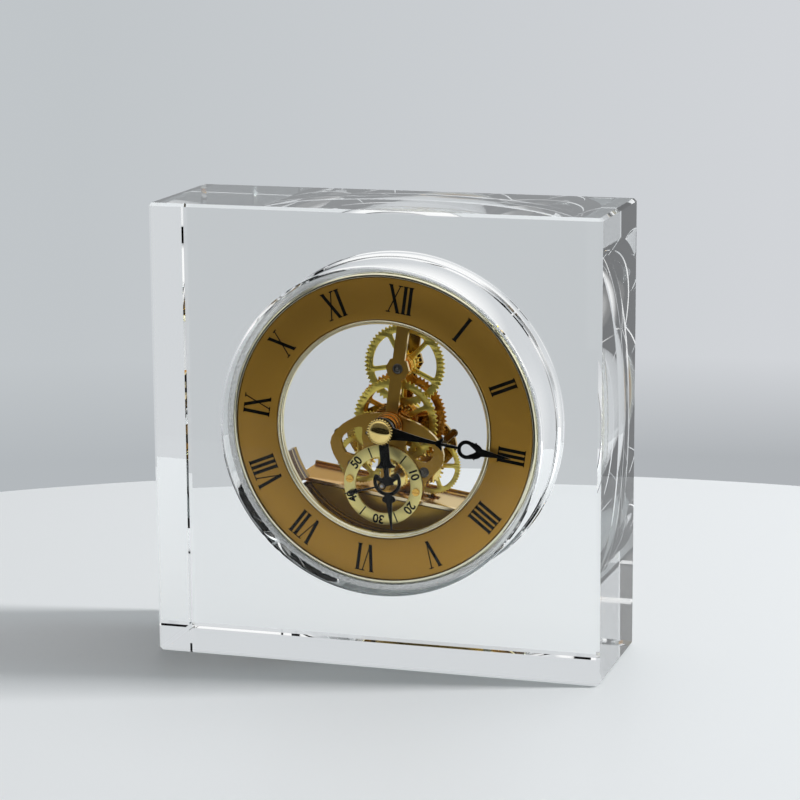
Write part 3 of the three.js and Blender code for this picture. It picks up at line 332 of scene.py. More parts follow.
def crystal():
    """Clear to the eye; it lets through a part of the lamps' light and of the light from the table."""
    material, place = new_finish("optical_crystal")
    clear = place.node("ShaderNodeBsdfPrincipled", values={
        "Base Color": (0.985, 0.995, 0.995, 1), "Roughness": place.grain(60.0, 3.0) * 0.006,
        "IOR": CRYSTAL_INDEX, "Transmission Weight": 1.0, "Specular Tint": (0.2, 0.2, 0.2, 1),
    })
    shade_cast = place.node("ShaderNodeBsdfTransparent", values={"Color": (0.34, 0.37, 0.38, 1)})
    soft_cast = place.node("ShaderNodeBsdfTransparent", values={"Color": (0.80, 0.82, 0.82, 1)})
    shadow_ray = place.node("ShaderNodeLightPath", output="Is Shadow Ray")
    lit = place.node("ShaderNodeMixShader", values={0: shadow_ray, 1: clear, 2: shade_cast})
    put_out(place.node("ShaderNodeMixShader", values={
        0: shadow_ray.other("Is Diffuse Ray"), 1: lit, 2: soft_cast}))
    return material


def crystal_block():
    solid = bmesh.new()
    bmesh.ops.create_cube(solid, size=1.0)
    size, middle = block_high - block_low, (block_high + block_low) / 2
    bmesh.ops.scale(solid, vec=size, verts=solid.verts)
    bmesh.ops.translate(solid, vec=middle, verts=solid.verts)
    bmesh.ops.bevel(solid, geom=solid.edges[:], offset=CHAMFER, segments=1, affect="EDGES")
    mesh = bpy.data.meshes.new("crystal_block_polished")
    solid.to_mesh(mesh)
    solid.free()
    block = placed("crystal_block_polished", mesh)
    front_corner = [(-1.6, 0), (-1.0, 0.12), (-0.47, 0.47), (-0.12, 1.0), (0, 1.6)]
    step = [(0, 0), (0.25, 0.15), (0.85, 0.9), (0.95, 1.3)]
    mouth = [(0.95, -0.25), (1.2, 0), (1.2, 2)]
    bore = [
        (POCKET_RADIUS + wider, depth + further)
        for corner, depth in ((front_corner, POCKET_FRONT), (step, POCKET_STEP), (mouth, POCKET_BACK))
        for wider, further in corner]
    pocket = turned("pocket_cutter", [(0, POCKET_FRONT)] + bore + [(0, bore[-1][1])])
    boolean = block.modifiers.new("pocket", "BOOLEAN")
    boolean.operation, boolean.object, boolean.solver = "DIFFERENCE", pocket, "EXACT"
    bpy.context.view_layer.update()
    shaped = bpy.data.meshes.new_from_object(block.evaluated_get(bpy.context.evaluated_depsgraph_get()))
    block.modifiers.clear()
    block.data = shaped
    bpy.data.objects.remove(pocket)
    return soften(block, 20)


dressed(crystal_block(), crystal(), "case", "crystal", "crystal_block")


# Pocket seal: a ring of clear soft plastic pushed into the pocket, finely ribbed across, that grips
# the insert's outer bezel.
SEAL_RIBS, SEAL_RIB_RISE = 180, 0.12
SEAL_INNER, SEAL_OUTER, SEAL_FRONT, SEAL_BACK = 52.0, 54.2, 0.5, 12.5


def eased(start, corner, end, steps):
    """Points on a curve that leaves one side of a corner and meets the other."""
    return [
        tuple(start * (1 - t) ** 2 + corner * 2 * t * (1 - t) + end * t ** 2)
        for t in (k / steps for k in range(steps + 1))]


def rounded(profile, corner):
    """The same closed profile with each corner rounded by a small radius."""
    points = []
    for before, here, after in zip(profile[-1:] + profile[:-1], profile, profile[1:] + profile[:1]):
        a, p, b = Vector(before), Vector(here), Vector(after)
        reach = min(corner, (a - p).length * 0.45, (b - p).length * 0.45)
        points += eased(p + (a - p).normalized() * reach, p, p + (b - p).normalized() * reach, 3)
    return points


def clear_seal():
    material, place = new_finish("clear_seal")
    clear = place.node("ShaderNodeBsdfPrincipled", values={
        "Base Color": (0.97, 0.97, 0.96, 1), "Roughness": place.grain(400.0) * 0.1 + 0.12,
        "IOR": 1.46, "Transmission Weight": 0.8,
    })
    through = place.node("ShaderNodeBsdfTransparent", values={"Color": (0.9, 0.9, 0.9, 1)})
    shadow_ray = place.node("ShaderNodeLightPath", output="Is Shadow Ray")
    put_out(place.node("ShaderNodeMixShader", values={0: shadow_ray, 1: clear, 2: through}))
    return material


def box_profile(inner, outer, front, back):
    return [(inner, front), (outer, front), (outer, back), (inner, back)]


seal = turned(
    "pocket_seal", rounded(box_profile(SEAL_INNER, SEAL_OUTER, SEAL_FRONT, SEAL_BACK), 0.3),
    facets=SEAL_RIBS * 4,
    ripple=lambda i, radius: -SEAL_RIB_RISE * (i % 4 > 1) if radius > SEAL_OUTER - 0.4 else 0)
dressed(seal, clear_seal(), "case", "clear_seal", "pocket_gasket")


# Outer bezel: a turned brass ring with a pale polished gilt, which carries the dial ring on a
# shoulder behind it.
FINE_MARK = 0.0002


def marks(height, strength, depth=FINE_MARK):
    return height.node("ShaderNodeBump", values={
        "Height": height, "Strength": strength, "Distance": depth})


def gilt(name, colour, roughness, grain=600.0, strength=0.02):
    """Plated metal: a slightly uneven polish, with fine marks that follow the object's space."""
    material, place = new_finish(name)
    cloud = place.grain(45.0, 3.0)
    put_on(place, {
        "Base Color": cloud.blend(shade(colour, 0.92), colour), "Metallic": 1.0,
        "Specular Tint": tuple(0.25 + 0.7 * c for c in colour[:3]) + (1,),
        "Roughness": cloud * 0.06 + (roughness - 0.03), "Normal": marks(place.grain(grain), strength),
    })
    return material


polished_gilt = gilt("polished_pale_gilt", (0.93, 0.88, 0.66, 1), 0.1)
outer_rim = turned("outer_bezel_turned", rounded([
    (50.5, -0.33), (51.25, -0.33), (51.68, 0.15), (51.68, 8.98), (50.52, 8.98), (50.52, 2.28),
    (48.85, 2.28), (48.85, 1.52), (50.5, 1.52)], 0.12))
dressed(outer_rim, polished_gilt, "case", "polished_gold", "outer_bezel")


# Dial ring: a flat brass ring with a satin gilt, its numerals printed in black. Its edges are lightly
# broken, so they catch the light as two thin pale lines.
RING_OUTER, RING_INNER, RING_THICKNESS = 50.2, 36.6, 1.2
NUMERAL_RADIUS, NUMERAL_HEIGHT, NUMERAL_WIDTH = 43.7, 9.2, 0.72
INK_LIFT = 0.03
satin_gilt = gilt("satin_gilt", (0.53, 0.29, 0.053, 1), 0.42, grain=1800.0, strength=0.06)
dial_ring = turned("dial_ring", rounded(box_profile(RING_INNER, RING_OUTER, 0.02, RING_THICKNESS), 0.15))
dressed(dial_ring, satin_gilt, "case", "satin_gold", "chapter_ring")


def ink():
    material, place = new_finish("black_ink")
    grain = place.grain(900.0)
    put_on(place, {
        "Base Color": grain.blend((0.004, 0.004, 0.004, 1), (0.009, 0.009, 0.008, 1)),
        "Roughness": grain * 0.1 + 0.45, "Specular IOR Level": 0.1,
    })
    return material


black_ink = ink()


def stroke(x0, y0, x1, y1, width):
    """A leaning bar with level ends, as numerals have."""
    half = width / 2
    return [(x0 - half, y0), (x0 + half, y0), (x1 + half, y1), (x1 - half, y1)]


def letter_bars(letter):
    """The bars of one letter of unit height, with its advance width."""
    thick, thin, serif = 0.172, 0.06, 0.042
    if letter == "I":
        foot = [stroke(0.14, y, 0.14, y + serif, 0.26) for y in (0, 1 - serif)]
        return [stroke(0.14, 0, 0.14, 1, thick)] + foot, 0.28
    if letter == "V":
        tops = [stroke(x, 1 - serif, x, 1, 0.25) for x in (0.14, 0.62)]
        return [stroke(0.37, 0, 0.14, 1, thick), stroke(0.37, 0, 0.62, 1, thin)] + tops, 0.74
    feet = [stroke(x, y, x, y + serif, 0.22) for x in (0.13, 0.63) for y in (0, 1 - serif)]
    return [stroke(0.63, 0, 0.13, 1, thick), stroke(0.13, 0, 0.63, 1, thin)] + feet, 0.76


def numerals():
    words = ["I", "II", "III", "IIII", "V", "VI", "VII", "VIII", "IX", "X", "XI", "XII"]
    vertices, faces = [], []
    for hour, word in enumerate(words, 1):
        clock = math.radians(30 * hour)
        outward = Vector((math.sin(clock), math.cos(clock)))
        sideways = Vector((outward.y, -outward.x))
        letters = [letter_bars(letter) for letter in word]
        width = sum(advance for _, advance in letters)
        x = -width / 2
        for bars, advance in letters:
            for bar in bars:
                first = len(vertices)
                for px, py in bar:
                    spot = outward * (NUMERAL_RADIUS + (py - 0.5) * NUMERAL_HEIGHT)
                    spot += sideways * (x + px) * NUMERAL_HEIGHT * NUMERAL_WIDTH
                    vertices.append(in_insert(spot.x * MM, -INK_LIFT * MM, spot.y * MM))
                faces.append(tuple(range(first, first + len(bar))))
            x += advance
    return object_from("dial_numerals", vertices, faces)


dressed(numerals(), black_ink, "case", "black_paint")


# Inner bezel: a stepped brass ring with the same pale polished gilt. It edges the dial's opening, and
# its flange lies behind the dial ring.
inner_rim = turned("inner_bezel_turned", rounded([
    (34.92, 0.8), (35.3, 0.36), (35.6, 0.36), (35.6, 0.0), (35.85, -0.33), (36.08, -0.33), (36.28, -0.12),
    (36.28, 1.52), (37.95, 1.52), (37.95, 2.28), (34.92, 2.28)], 0.07))
dressed(inner_rim, polished_gilt, "case", "polished_gold", "inner_bezel")


# Seconds dial: a flat ring of satin brass with printed numbers whose tops point outwards, held to the
# front plate by two slotted screws.
def flat(name, lines, front, thickness, edge, place=(0, 0), turn=0):
    """A piece cut from sheet: closed lines in mm, with any holes among them, and lightly broken edges."""
    sheet = bpy.data.curves.new(name, "CURVE")
    sheet.dimensions, sheet.fill_mode = "2D", "BOTH"
    sheet.extrude, sheet.bevel_depth, sheet.offset = thickness / 2 - edge, edge, -edge
    sheet.bevel_resolution = 1
    for line in lines:
        spline = sheet.splines.new("POLY")
        spline.points.add(len(line) - 1)
        for corner, (x, y) in zip(spline.points, line):
            corner.co = (x, y, 0, 1)
        spline.use_cyclic_u = True
    return pressed(name, sheet, front + thickness / 2, place, turn)


def pressed(name, drawing, depth, place, turn):
    """The mesh of a drawing, in mm, laid in the insert at a depth, with its middle at a place."""
    sketch = placed(name + "_drawing", drawing)
    bpy.context.view_layer.update()
    mesh = bpy.data.meshes.new_from_object(sketch.evaluated_get(bpy.context.evaluated_depsgraph_get()))
    bpy.data.objects.remove(sketch)
    spin = Matrix.Rotation(math.radians(turn), 3, "Z")
    for vertex in mesh.vertices:
        x, y, z = spin @ vertex.co
        vertex.co = in_insert((place[0] + x) * MM, (depth - z) * MM, (place[1] + y) * MM)
    welded(mesh, 2e-7)
    return soften(placed(name, mesh), 35)


def kept(node, material, edge):
    """A piece shown by its own solid, with broken edges and a finish."""
    piece = frame["nodes"][node]
    piece.data.materials.clear()
    piece.data.materials.append(material)
    weld = piece.modifiers.new("weld", "WELD")
    weld.merge_threshold = 1e-6
    broken = piece.modifiers.new("broken_edges", "BEVEL")
    broken.width, broken.segments = edge * MM, 2
    broken.limit_method, broken.angle_limit = "ANGLE", math.radians(30)
    broken.harden_normals = True
    broken.use_clamp_overlap = True


def around(place, radius, angle):
    """A point at an angle from the across axis, in degrees anticlockwise as seen from the front."""
    a = math.radians(angle)
    return (place[0] + radius * math.cos(a), place[1] + radius * math.sin(a))


SECONDS_AT, SECONDS_FACE = (0.6, -20.4), 6.9
SECONDS_INNER, SECONDS_OUTER = 9.6, 13.6
seconds_brass = gilt("seconds_dial_brass", (0.98, 0.84, 0.34, 1), 0.36, grain=1500.0, strength=0.05)
seconds_dial = turned(
    "seconds_dial", rounded(
        box_profile(SECONDS_INNER, SECONDS_OUTER, SECONDS_FACE, SECONDS_FACE + 0.8), 0.12),
    centre=SECONDS_AT)
dressed(seconds_dial, seconds_brass, "case", "wheel_brass", "seconds_ring")

for number in (10, 20, 30, 40, 50):
    figures = bpy.data.curves.new("figures", "FONT")
    figures.body = str(number)
    figures.size, figures.offset, figures.space_character = 4.1, 0.11, 0.95
    figures.align_x, figures.align_y = "CENTER", "CENTER"
    spot = around(SECONDS_AT, 11.55, 90 - 6 * number)
    printed = pressed("seconds_number_%d" % number, figures, SECONDS_FACE - 0.03, spot, -6 * number)
    dressed(printed, black_ink, "case", "black_paint")
for second in (5, 25, 35, 55):
    tick = box_profile(-0.22, 0.22, SECONDS_INNER + 0.15, SECONDS_OUTER - 0.25)
    mark = flat(
        "seconds_mark_%d" % second, [tick], SECONDS_FACE - 0.04, 0.04, 0.004, SECONDS_AT, -6 * second)
    dressed(mark, black_ink, "case", "black_paint")
screw_brass = gilt("screw_brass", (0.80, 0.48, 0.10, 1), 0.1, grain=900.0, strength=0.04)
for side in ("left", "right"):
    kept("seconds_screw_" + side, screw_brass, 0.05)


# Hands: pierced and filed from thin steel, painted black. The minute hand passes over the hour hand,
# and both turn in front of the small seconds hand.
def paint():
    """Black on the faces; the filed edges are bare steel."""
    material, place = new_finish("black_hand_paint")
    grain = place.grain(1400.0)
    face = abs(place.other("Normal").parts()[1]).above(0.2, 0.15)
    black = grain.blend((0.005, 0.005, 0.005, 1), (0.010, 0.010, 0.010, 1))
    put_on(place, {
        "Base Color": face.blend((0.34, 0.34, 0.35, 1), black), "Metallic": 1 - face,
        "Roughness": grain * 0.12 + 0.34, "Normal": marks(grain, 0.05), "Specular IOR Level": 0.08,
    })
    return material


def mirrored(half):
    return half + [(x, -y) for x, y in reversed(half)]


def arc(middle, radius, start, end, steps):
    return [around(middle, radius, start + (end - start) * k / steps) for k in range(steps + 1)]


def hole(radius):
    return arc((0, 0), radius, 0, 345, 23)


def bowed(start, end, rise):
    """A shallow curve between two points, bowed to the left of its way by rise; its end is left out."""
    a, b = Vector(start), Vector(end)
    side = Vector((a.y - b.y, b.x - a.x)).normalized()
    return [tuple(a.lerp(b, t) + side * rise * 4 * t * (1 - t)) for t in (k / 6 for k in range(6))]


def run(*legs):
    """One line through several bowed legs, each given as its end and its bow."""
    points, here = [], legs[0]
    for end, rise in legs[1:]:
        points += bowed(here, end, rise)
        here = end
    return points + [here]


hand_black = paint()
HUB_RADIUS = 4.5
MINUTE_DEPTH, HOUR_DEPTH, SECONDS_HAND_DEPTH = -2.1, -0.4, 5.8
HAND_THICKNESS = 0.4


def minute_hand():
    eye = (29.1, 0)
    half = run(
        (4.0, 2.1), ((18.6, 0.5), -0.2), ((19.5, 1.1), 0.1), ((20.9, 2.3), -0.1), ((20.6, 0.45), 0.25),
        ((26.2, 0.42), 0.08)) + arc(eye, 3.1, 168, 66, 12)
    half += run(
        (30.9, 2.85), ((32.0, 3.0), -0.3), ((32.4, 2.5), 0), ((34.2, 1.3), 0.2), ((44.0, 0.12), -0.05))
    pear = arc(eye, 1.85, 180, 50, 14) + run((30.5, 1.25), ((32.3, 0), 0.1))
    pear += [(x, -y) for x, y in reversed(pear[1:-1])]
    hub = arc((0, 0), HUB_RADIUS, 28, 332, 48)
    return flat("minute_hand_filed", [hub + mirrored(half)[::-1], pear, hole(1.1)],
                MINUTE_DEPTH, HAND_THICKNESS, 0.06, turn=-0.5)


def hour_hand():
    ring = (17.2, 0)
    half = run(
        (3.9, 1.75), ((10.0, 1.65), 0), ((12.1, 3.4), -0.35), ((12.6, 3.1), 0), ((12.7, 0.9), -0.05)) + [
        (14.9, 0.85), (15.5, 1.05), (15.9, 1.75), (15.6, 2.4), (14.9, 2.8), (14.5, 3.45)]
    half += arc(ring, 4.75, 124, 20, 22)
    half += run(
        (21.9, 1.25), ((23.0, 2.25), 0.25), ((24.1, 1.55), 0.3), ((24.6, 1.0), -0.1), ((33.4, 0.15), 0))
    opening = arc(ring, 3.55, -100, 100, 30) + [(17.2, 2.4), (17.9, 1.0), (17.9, -1.0), (17.2, -2.4)]
    hub = arc((0, 0), HUB_RADIUS - 0.3, 24, 336, 40)
    return flat("hour_hand_filed", [hub + mirrored(half)[::-1], opening, hole(1.7)],
                HOUR_DEPTH, HAND_THICKNESS, 0.06, turn=-77)


def seconds_hand():
    half = run((1.35, 0.3), ((8.9, 0.24), 0), ((9.4, 0.95), 0.2), ((11.4, 0.75), -0.3),
               ((12.0, 0.24), 0.2), ((13.6, 0.12), 0))
    tail = [(-4.2, 0.45), (-4.2, -0.45), (-1.4, -0.3)]
    hub = arc((0, 0), 1.45, 15, 165, 16) + tail + arc((0, 0), 1.45, 195, 345, 16)
    return flat("seconds_hand_filed", [hub + mirrored(half)[::-1], hole(1.0)],
                SECONDS_HAND_DEPTH, HAND_THICKNESS, 0.05, SECONDS_AT, -157)


dressed(minute_hand(), hand_black, "minute", "black_paint", "minute_hand")
dressed(hour_hand(), hand_black, "hour", "black_paint", "hour_hand")
dressed(seconds_hand(), hand_black, "seconds", "black_paint", "seconds_hand")


# Hand nut: turned from brass, a polished dome over a knurled rim. It is screwed on the centre arbor and
# holds the minute hand.
KNURLS = 28
nut_brass = gilt("polished_nut_brass", (1.0, 0.80, 0.30, 1), 0.13, grain=500.0, strength=0.04)


def knurled_brass():
    """Polished on the dome; in the knurled rim the grooves are painted dark brown, a painted shade."""
    material, place = new_finish("knurled_nut_brass")
    across, _, up = place.parts()
    across, up = across - arbor_line.x, up - arbor_line.z
    spoke = (up.math("ARCTAN2", up, across) + INSERT_TURN) * KNURLS
    groove = spoke.math("COSINE", spoke).above(0.1, 0.4)
    rim = (across * across + up * up).above((3.95 * MM) ** 2, (0.05 * MM) ** 2)
    cloud = place.grain(300.0, 3.0)
    brass, groove_shade = cloud.blend((1.0, 0.80, 0.34, 1), (0.88, 0.64, 0.22, 1)), (0.10, 0.05, 0.01, 1)
    # The knurled rim's grooves are painted dark: painted shade in the grooves.
    put_on(place, {
        "Base Color": (groove * rim).blend(brass, groove_shade), "Metallic": 1.0,
        "Roughness": cloud * 0.06 + 0.05, "Specular Tint": (0.9, 0.7, 0.4, 1),
    })
    return material


dome = [(3.7 * math.sin(k * math.pi / 24), -3.6 - 0.7 * math.cos(k * math.pi / 24)) for k in range(13)]
rim = [(3.8, -3.55), (4.4, -3.65), (4.5, -3.5), (4.5, -2.5), (4.4, -2.4)]
socket = [(1.3, -2.4), (1.3, -3.0), (0, -3.0)]
nut = turned(
    "hand_nut_knurled", [(0, dome[0][1])] + dome[1:] + rim + socket, facets=KNURLS * 6, angle=40,
    ripple=lambda i, radius: -0.5 * abs((i % 6) - 3) / 3 if radius > 4.3 else 0)
dressed(nut, knurled_brass(), "minute", "polished_gold", "hand_nut")


# Movement plates: heart-shaped brass plates with a satin gilt, pierced and with an upright arm. The
# rear one is polished.
def edged_gilt(name, face, edge, roughness):
    """Plate cut from sheet: a plated face, and edges that are burnished bright."""
    material, place = new_finish(name)
    edge_roughness = 0.16
    flat_face = abs(place.other("Normal").parts()[1]).above(0.55, 0.25)
    cloud = place.grain(45.0, 3.0)
    put_on(place, {
        "Base Color": flat_face.blend(edge, cloud.blend(shade(face, 0.92), face)), "Metallic": 1.0,
        "Specular Tint": tuple(0.35 + 0.65 * c for c in edge[:3]) + (1,),
        "Roughness": flat_face * (roughness - edge_roughness) + cloud * 0.05 + (edge_roughness - 0.02),
        "Normal": marks(place.grain(1500.0), 0.05),
    })
    return material


plate_gilt = edged_gilt("satin_plate_gilt", (0.43, 0.245, 0.05, 1), (0.95, 0.80, 0.52, 1), 0.36)
rear_gilt = edged_gilt("polished_plate_gilt", (0.36, 0.22, 0.05, 1), (0.80, 0.62, 0.36, 1), 0.2)
kept("front_plate", plate_gilt, 0.12)
kept("rear_plate", rear_gilt, 0.12)


# Centre bush and pivot caps: turned pieces let into the front plate. The caps are dark steel with an
# oil sink and fine turning rings.
rose_gilt = gilt("polished_rose_gilt", (0.74, 0.38, 0.10, 1), 0.14, grain=700.0, strength=0.03)
cap_steel = gilt("dark_cap_steel", (0.13, 0.12, 0.11, 1), 0.3, grain=1500.0, strength=0.05)
TOP_AT, RIGHT_AT, LEFT_AT = (0, 19.3), (13.647, -13.647), (-11.07, -15.81)
bush = turned("centre_bush_turned", rounded([
    (2.5, 3.1), (3.7, 3.1), (3.7, 4.6), (4.2, 4.6), (4.2, 6.15), (4.7, 6.15), (4.7, 7.7), (3.4, 7.7),
    (3.4, 9.3), (2.5, 9.3)], 0.12), facets=96)
dressed(bush, rose_gilt, "case", "copper_gilt", "centre_bush")
for name, spot in (("top", TOP_AT), ("right", RIGHT_AT), ("left", LEFT_AT)):
    cap = turned(name + "_cap_turned", [
        (0, 8.22), (0.35, 8.22), (0.6, 8.08), (0.66, 8.02), (0.84, 8.02), (0.9, 8.1), (1.0, 8.1),
        (1.06, 8.02), (1.5, 8.02), (1.68, 8.14), (1.7, 8.2), (1.7, 8.5), (0, 8.5)],
        centre=spot, facets=64)
    dressed(cap, cap_steel, "case", "dark_steel", name + "_pivot_cap")


# Pillars and spacers: turned from brass with a collar at each end, and screwed between the plates. The
# lower two are painted nearly black, a painted shade, so that they sit in the dark between the plates.
def pillar(node, spot, radius, front, back, material, slot):
    waist = radius - 0.25
    profile = [
        (0, front), (radius, front), (radius, front + 0.9), (waist, front + 1.15), (waist, back - 1.15),
        (radius, back - 0.9), (radius, back), (0, back)]
    dressed(turned(node + "_turned", profile, centre=spot, facets=64), material, "case", slot, node)


wheel_gilt = gilt("wheel_brass", (0.78, 0.62, 0.14, 1), 0.28, grain=1500.0, strength=0.04)
ARM_TOP, PLATE_BACK, REAR_PLATE_FRONT = (0, 41), 9.8, 24.7
pillar("top_spacer", ARM_TOP, 2.0, 1.5, 7.7, wheel_gilt, "wheel_brass")
pillar("top_pillar", ARM_TOP, 2.0, PLATE_BACK, REAR_PLATE_FRONT, wheel_gilt, "wheel_brass")
# The lower pillars are painted nearly black: painted shade between the plates.
shade_painted_pillar_gilt = gilt("shaded_pillar_gilt", (0.12, 0.075, 0.03, 1), 0.2, grain=700.0, strength=0.03)
pillar("left_pillar", (-18, -6.5), 1.4, PLATE_BACK, REAR_PLATE_FRONT, shade_painted_pillar_gilt, "copper_gilt")
pillar("right_pillar", (18.3, -2.5), 1.4, PLATE_BACK, REAR_PLATE_FRONT, shade_painted_pillar_gilt, "copper_gilt")


# Going train: spoked brass wheels on steel arbors between the plates, each one cut from sheet, with
# its teeth set to its neighbour's. The great wheel has a rose gilt and a stepped barrel.
SPACING = 19.3
WHEEL_THICKNESS, WINDOW_CORNER = 0.8, 0.9


def pitch_radii(span, teeth, other_teeth):
    return span * teeth / (teeth + other_teeth), span * other_teeth / (teeth + other_teeth)


def mesh_phase(phase, teeth, here, there, driven):
    """The angle of a driven wheel's first tooth that puts a gap of it round a tooth of the driver."""
    bearing = math.degrees(math.atan2(there[1] - here[1], there[0] - here[0]))
    share = ((bearing - phase) % (360 / teeth)) / (360 / teeth)
    return bearing + 180 + (share + 0.5) * 360 / driven


def teeth_line(teeth, radius, phase):
    module, pitch = 2 * radius / teeth, 360 / teeth
    profile = (
        (-0.05, 0.7), (0, 0.8), (0.05, 0.7), (0.25, -0.12), (0.42, -0.84), (0.5, -1.1), (0.58, -0.84),
        (0.75, -0.12))
    return [around((0, 0), radius + rise * module, phase + pitch * (i + share))
            for i in range(teeth) for share, rise in profile]


def wheel(node, body, spot, depth, teeth, radius, bore, hub, rim, spoke, turn, material, slot, phase=0):
    """A wheel of five spokes; rim and spoke are widths, and turn is the way that its first spoke points."""
    lines = [teeth_line(teeth, radius, phase), hole(bore)]
    for i in range(5):
        start, end = turn + 72 * i, turn + 72 * (i + 1)
        lean = [math.degrees(math.asin(spoke / 2 / r)) for r in (radius - rim, hub)]
        outer = arc((0, 0), radius - rim, start + lean[0], end - lean[0], 12)
        inner = arc((0, 0), hub, end - lean[1], start + lean[1], 5)
        lines.append(window_line(outer, inner))
    made = flat(node + "_cut", lines, depth, WHEEL_THICKNESS, 0.06, spot)
    dressed(made, material, body, slot, node)


def window_line(outer, inner):
    """The outline of an opening between two arcs, its four corners rounded."""
    points = []
    for line, after, before in ((outer, inner, inner), (inner, outer, outer)):
        first, last = Vector(line[0]), Vector(line[-1])
        reach = min(WINDOW_CORNER, (first - last).length * 0.3)
        middle = [
            p for p in line if (Vector(p) - first).length > reach and (Vector(p) - last).length > reach]
        come, go = Vector(before[-1]), Vector(after[0])
        start = first + (come - first).normalized() * reach
        turn_in = first + (Vector(line[1]) - first).normalized() * reach
        turn_out = last + (Vector(line[-2]) - last).normalized() * reach
        end = last + (go - last).normalized() * reach
        points += eased(start, first, turn_in, 4) + middle + eased(turn_out, last, end, 4)
    return points


great, _ = pitch_radii(SPACING, 64, 16)
top, _ = pitch_radii(SPACING, 60, 24)
middle, _ = pitch_radii(SPACING, 60, 20)
right, escape = pitch_radii(math.dist(RIGHT_AT, SECONDS_AT), 60, 30)
left = 8.28
escape_phase = mesh_phase(0, 60, RIGHT_AT, SECONDS_AT, 30)
drive = escape * 40 / 30
DRIVE_AT = around(SECONDS_AT, drive + escape, -35)
drive_phase = mesh_phase(escape_phase, 30, SECONDS_AT, DRIVE_AT, 40)
great_gilt = gilt("amber_gilt", (0.62, 0.31, 0.07, 1), 0.22, grain=900.0, strength=0.04)
wheel("great_wheel", "minute", (0, 0), depth=22.0, teeth=64, radius=great, bore=1.1, hub=3.4, rim=3.0,
      spoke=1.6, turn=20, material=great_gilt, slot="copper_gilt")
wheel("middle_wheel", "middle", (0, 0), depth=14.2, teeth=60, radius=middle, bore=2.2, hub=4.0, rim=2.6,
      spoke=1.6, turn=35, material=wheel_gilt, slot="wheel_brass")
wheel("top_wheel", "top", TOP_AT, depth=16.3, teeth=60, radius=top, bore=1.0, hub=3.6, rim=2.6,
      spoke=1.6, turn=54, material=wheel_gilt, slot="wheel_brass")
wheel("right_wheel", "right", RIGHT_AT, depth=18.6, teeth=60, radius=right, bore=1.0, hub=2.8, rim=1.7,
      spoke=1.4, turn=10, material=wheel_gilt, slot="wheel_brass")
wheel("left_wheel", "left", LEFT_AT, depth=16.3, teeth=48, radius=left, bore=1.0, hub=2.6, rim=1.9,
      spoke=1.4, turn=30, material=wheel_gilt, slot="wheel_brass")
wheel("drive_wheel", "drive", DRIVE_AT, depth=20.2, teeth=40, radius=drive, bore=1.0, hub=2.4, rim=1.5,
      spoke=1.4, turn=0, material=great_gilt, slot="copper_gilt", phase=drive_phase)
barrel = turned("great_wheel_barrel", rounded([
    (1.1, 17.7), (4.2, 17.7), (4.2, 18.3), (6.2, 18.3), (6.2, 19.5), (5.5, 19.5), (5.5, 20.1), (6.2, 20.1),
    (6.2, 22.0), (1.1, 22.0)], 0.18), facets=96)
dressed(barrel, great_gilt, "minute", "copper_gilt")
collet_gilt = gilt("bright_collet_gilt", (1.0, 0.60, 0.14, 1), 0.12, grain=700.0, strength=0.03)
collet = turned("top_pinion_collet", rounded([
    (1.0, 17.4), (2.4, 17.4), (2.4, 18.0), (3.0, 18.0), (3.0, 18.9), (2.2, 18.9), (2.2, 19.5), (3.0, 19.5),
    (3.0, 20.9), (1.0, 20.9)], 0.25), centre=TOP_AT, facets=72)
dressed(collet, collet_gilt, "top", "wheel_brass")
boss = turned("top_wheel_boss", rounded([
    (1.0, 10.3), (2.2, 10.3), (2.2, 11.0), (3.0, 11.0), (3.0, 12.4), (2.3, 12.4), (2.3, 13.2), (3.5, 13.2),
    (3.5, 14.3), (2.6, 14.6), (2.6, 15.2), (3.4, 15.4), (3.4, 16.25), (1.0, 16.25)], 0.25),
    centre=TOP_AT, facets=72)
dressed(boss, collet_gilt, "top", "wheel_brass")
for owner in ("top", "right", "left", "middle", "seconds", "cannon"):
    kept(owner + "_pinion", nut_brass, 0.05)


# Motion work and arbors: the hour wheel has a broad rose-gilt boss, and the arbors are turned steel
# with smaller pivots.
arbor_steel = gilt("turned_steel", (0.45, 0.44, 0.43, 1), 0.25, grain=2500.0, strength=0.05)
kept("hour_wheel", rose_gilt, 0.06)
kept("motion_wheel", wheel_gilt, 0.06)


def arbor(node, body, spot, front, back, radius=0.8):
    profile = rounded([
        (0, front), (radius - 0.2, front), (radius - 0.2, front + 0.8), (radius, front + 0.9),
        (radius, back - 0.9), (radius - 0.2, back - 0.8), (radius - 0.2, back), (0, back)], 0.05)
    line = [point for point in profile if point[0] > 1e-6]
    made = turned(node + "_turned", [(0, front)] + line + [(0, back)], centre=spot, facets=32)
    dressed(made, arbor_steel, body, "steel", node)


MOTION_AT = around((0, 0), 8.28, -151)
arbor("centre_arbor", "minute", (0, 0), front=-3.0, back=29.75, radius=0.9)
for owner, spot in (("top", TOP_AT), ("right", RIGHT_AT), ("left", LEFT_AT)):
    arbor(owner + "_arbor", owner, spot, front=8.9, back=26.3)
arbor("seconds_arbor", "seconds", SECONDS_AT, front=5.5, back=26.3)
arbor("drive_arbor", "drive", DRIVE_AT, front=19.2, back=24.1)
arbor("motion_stud", "case", MOTION_AT, front=8.2, back=13.55)


# Shelf and housing: a polished rose-gilt shelf over a half-moon housing with a satin front panel and
# a polished wall that curves round to the dial's opening.
SHELF_LIP, PANEL_AT = -24.6, 11.8
WALL_INNER, WALL_OUTER, WALL_FRONT, WALL_LENGTH = 36.8, 38.2, 2.7, 11.2


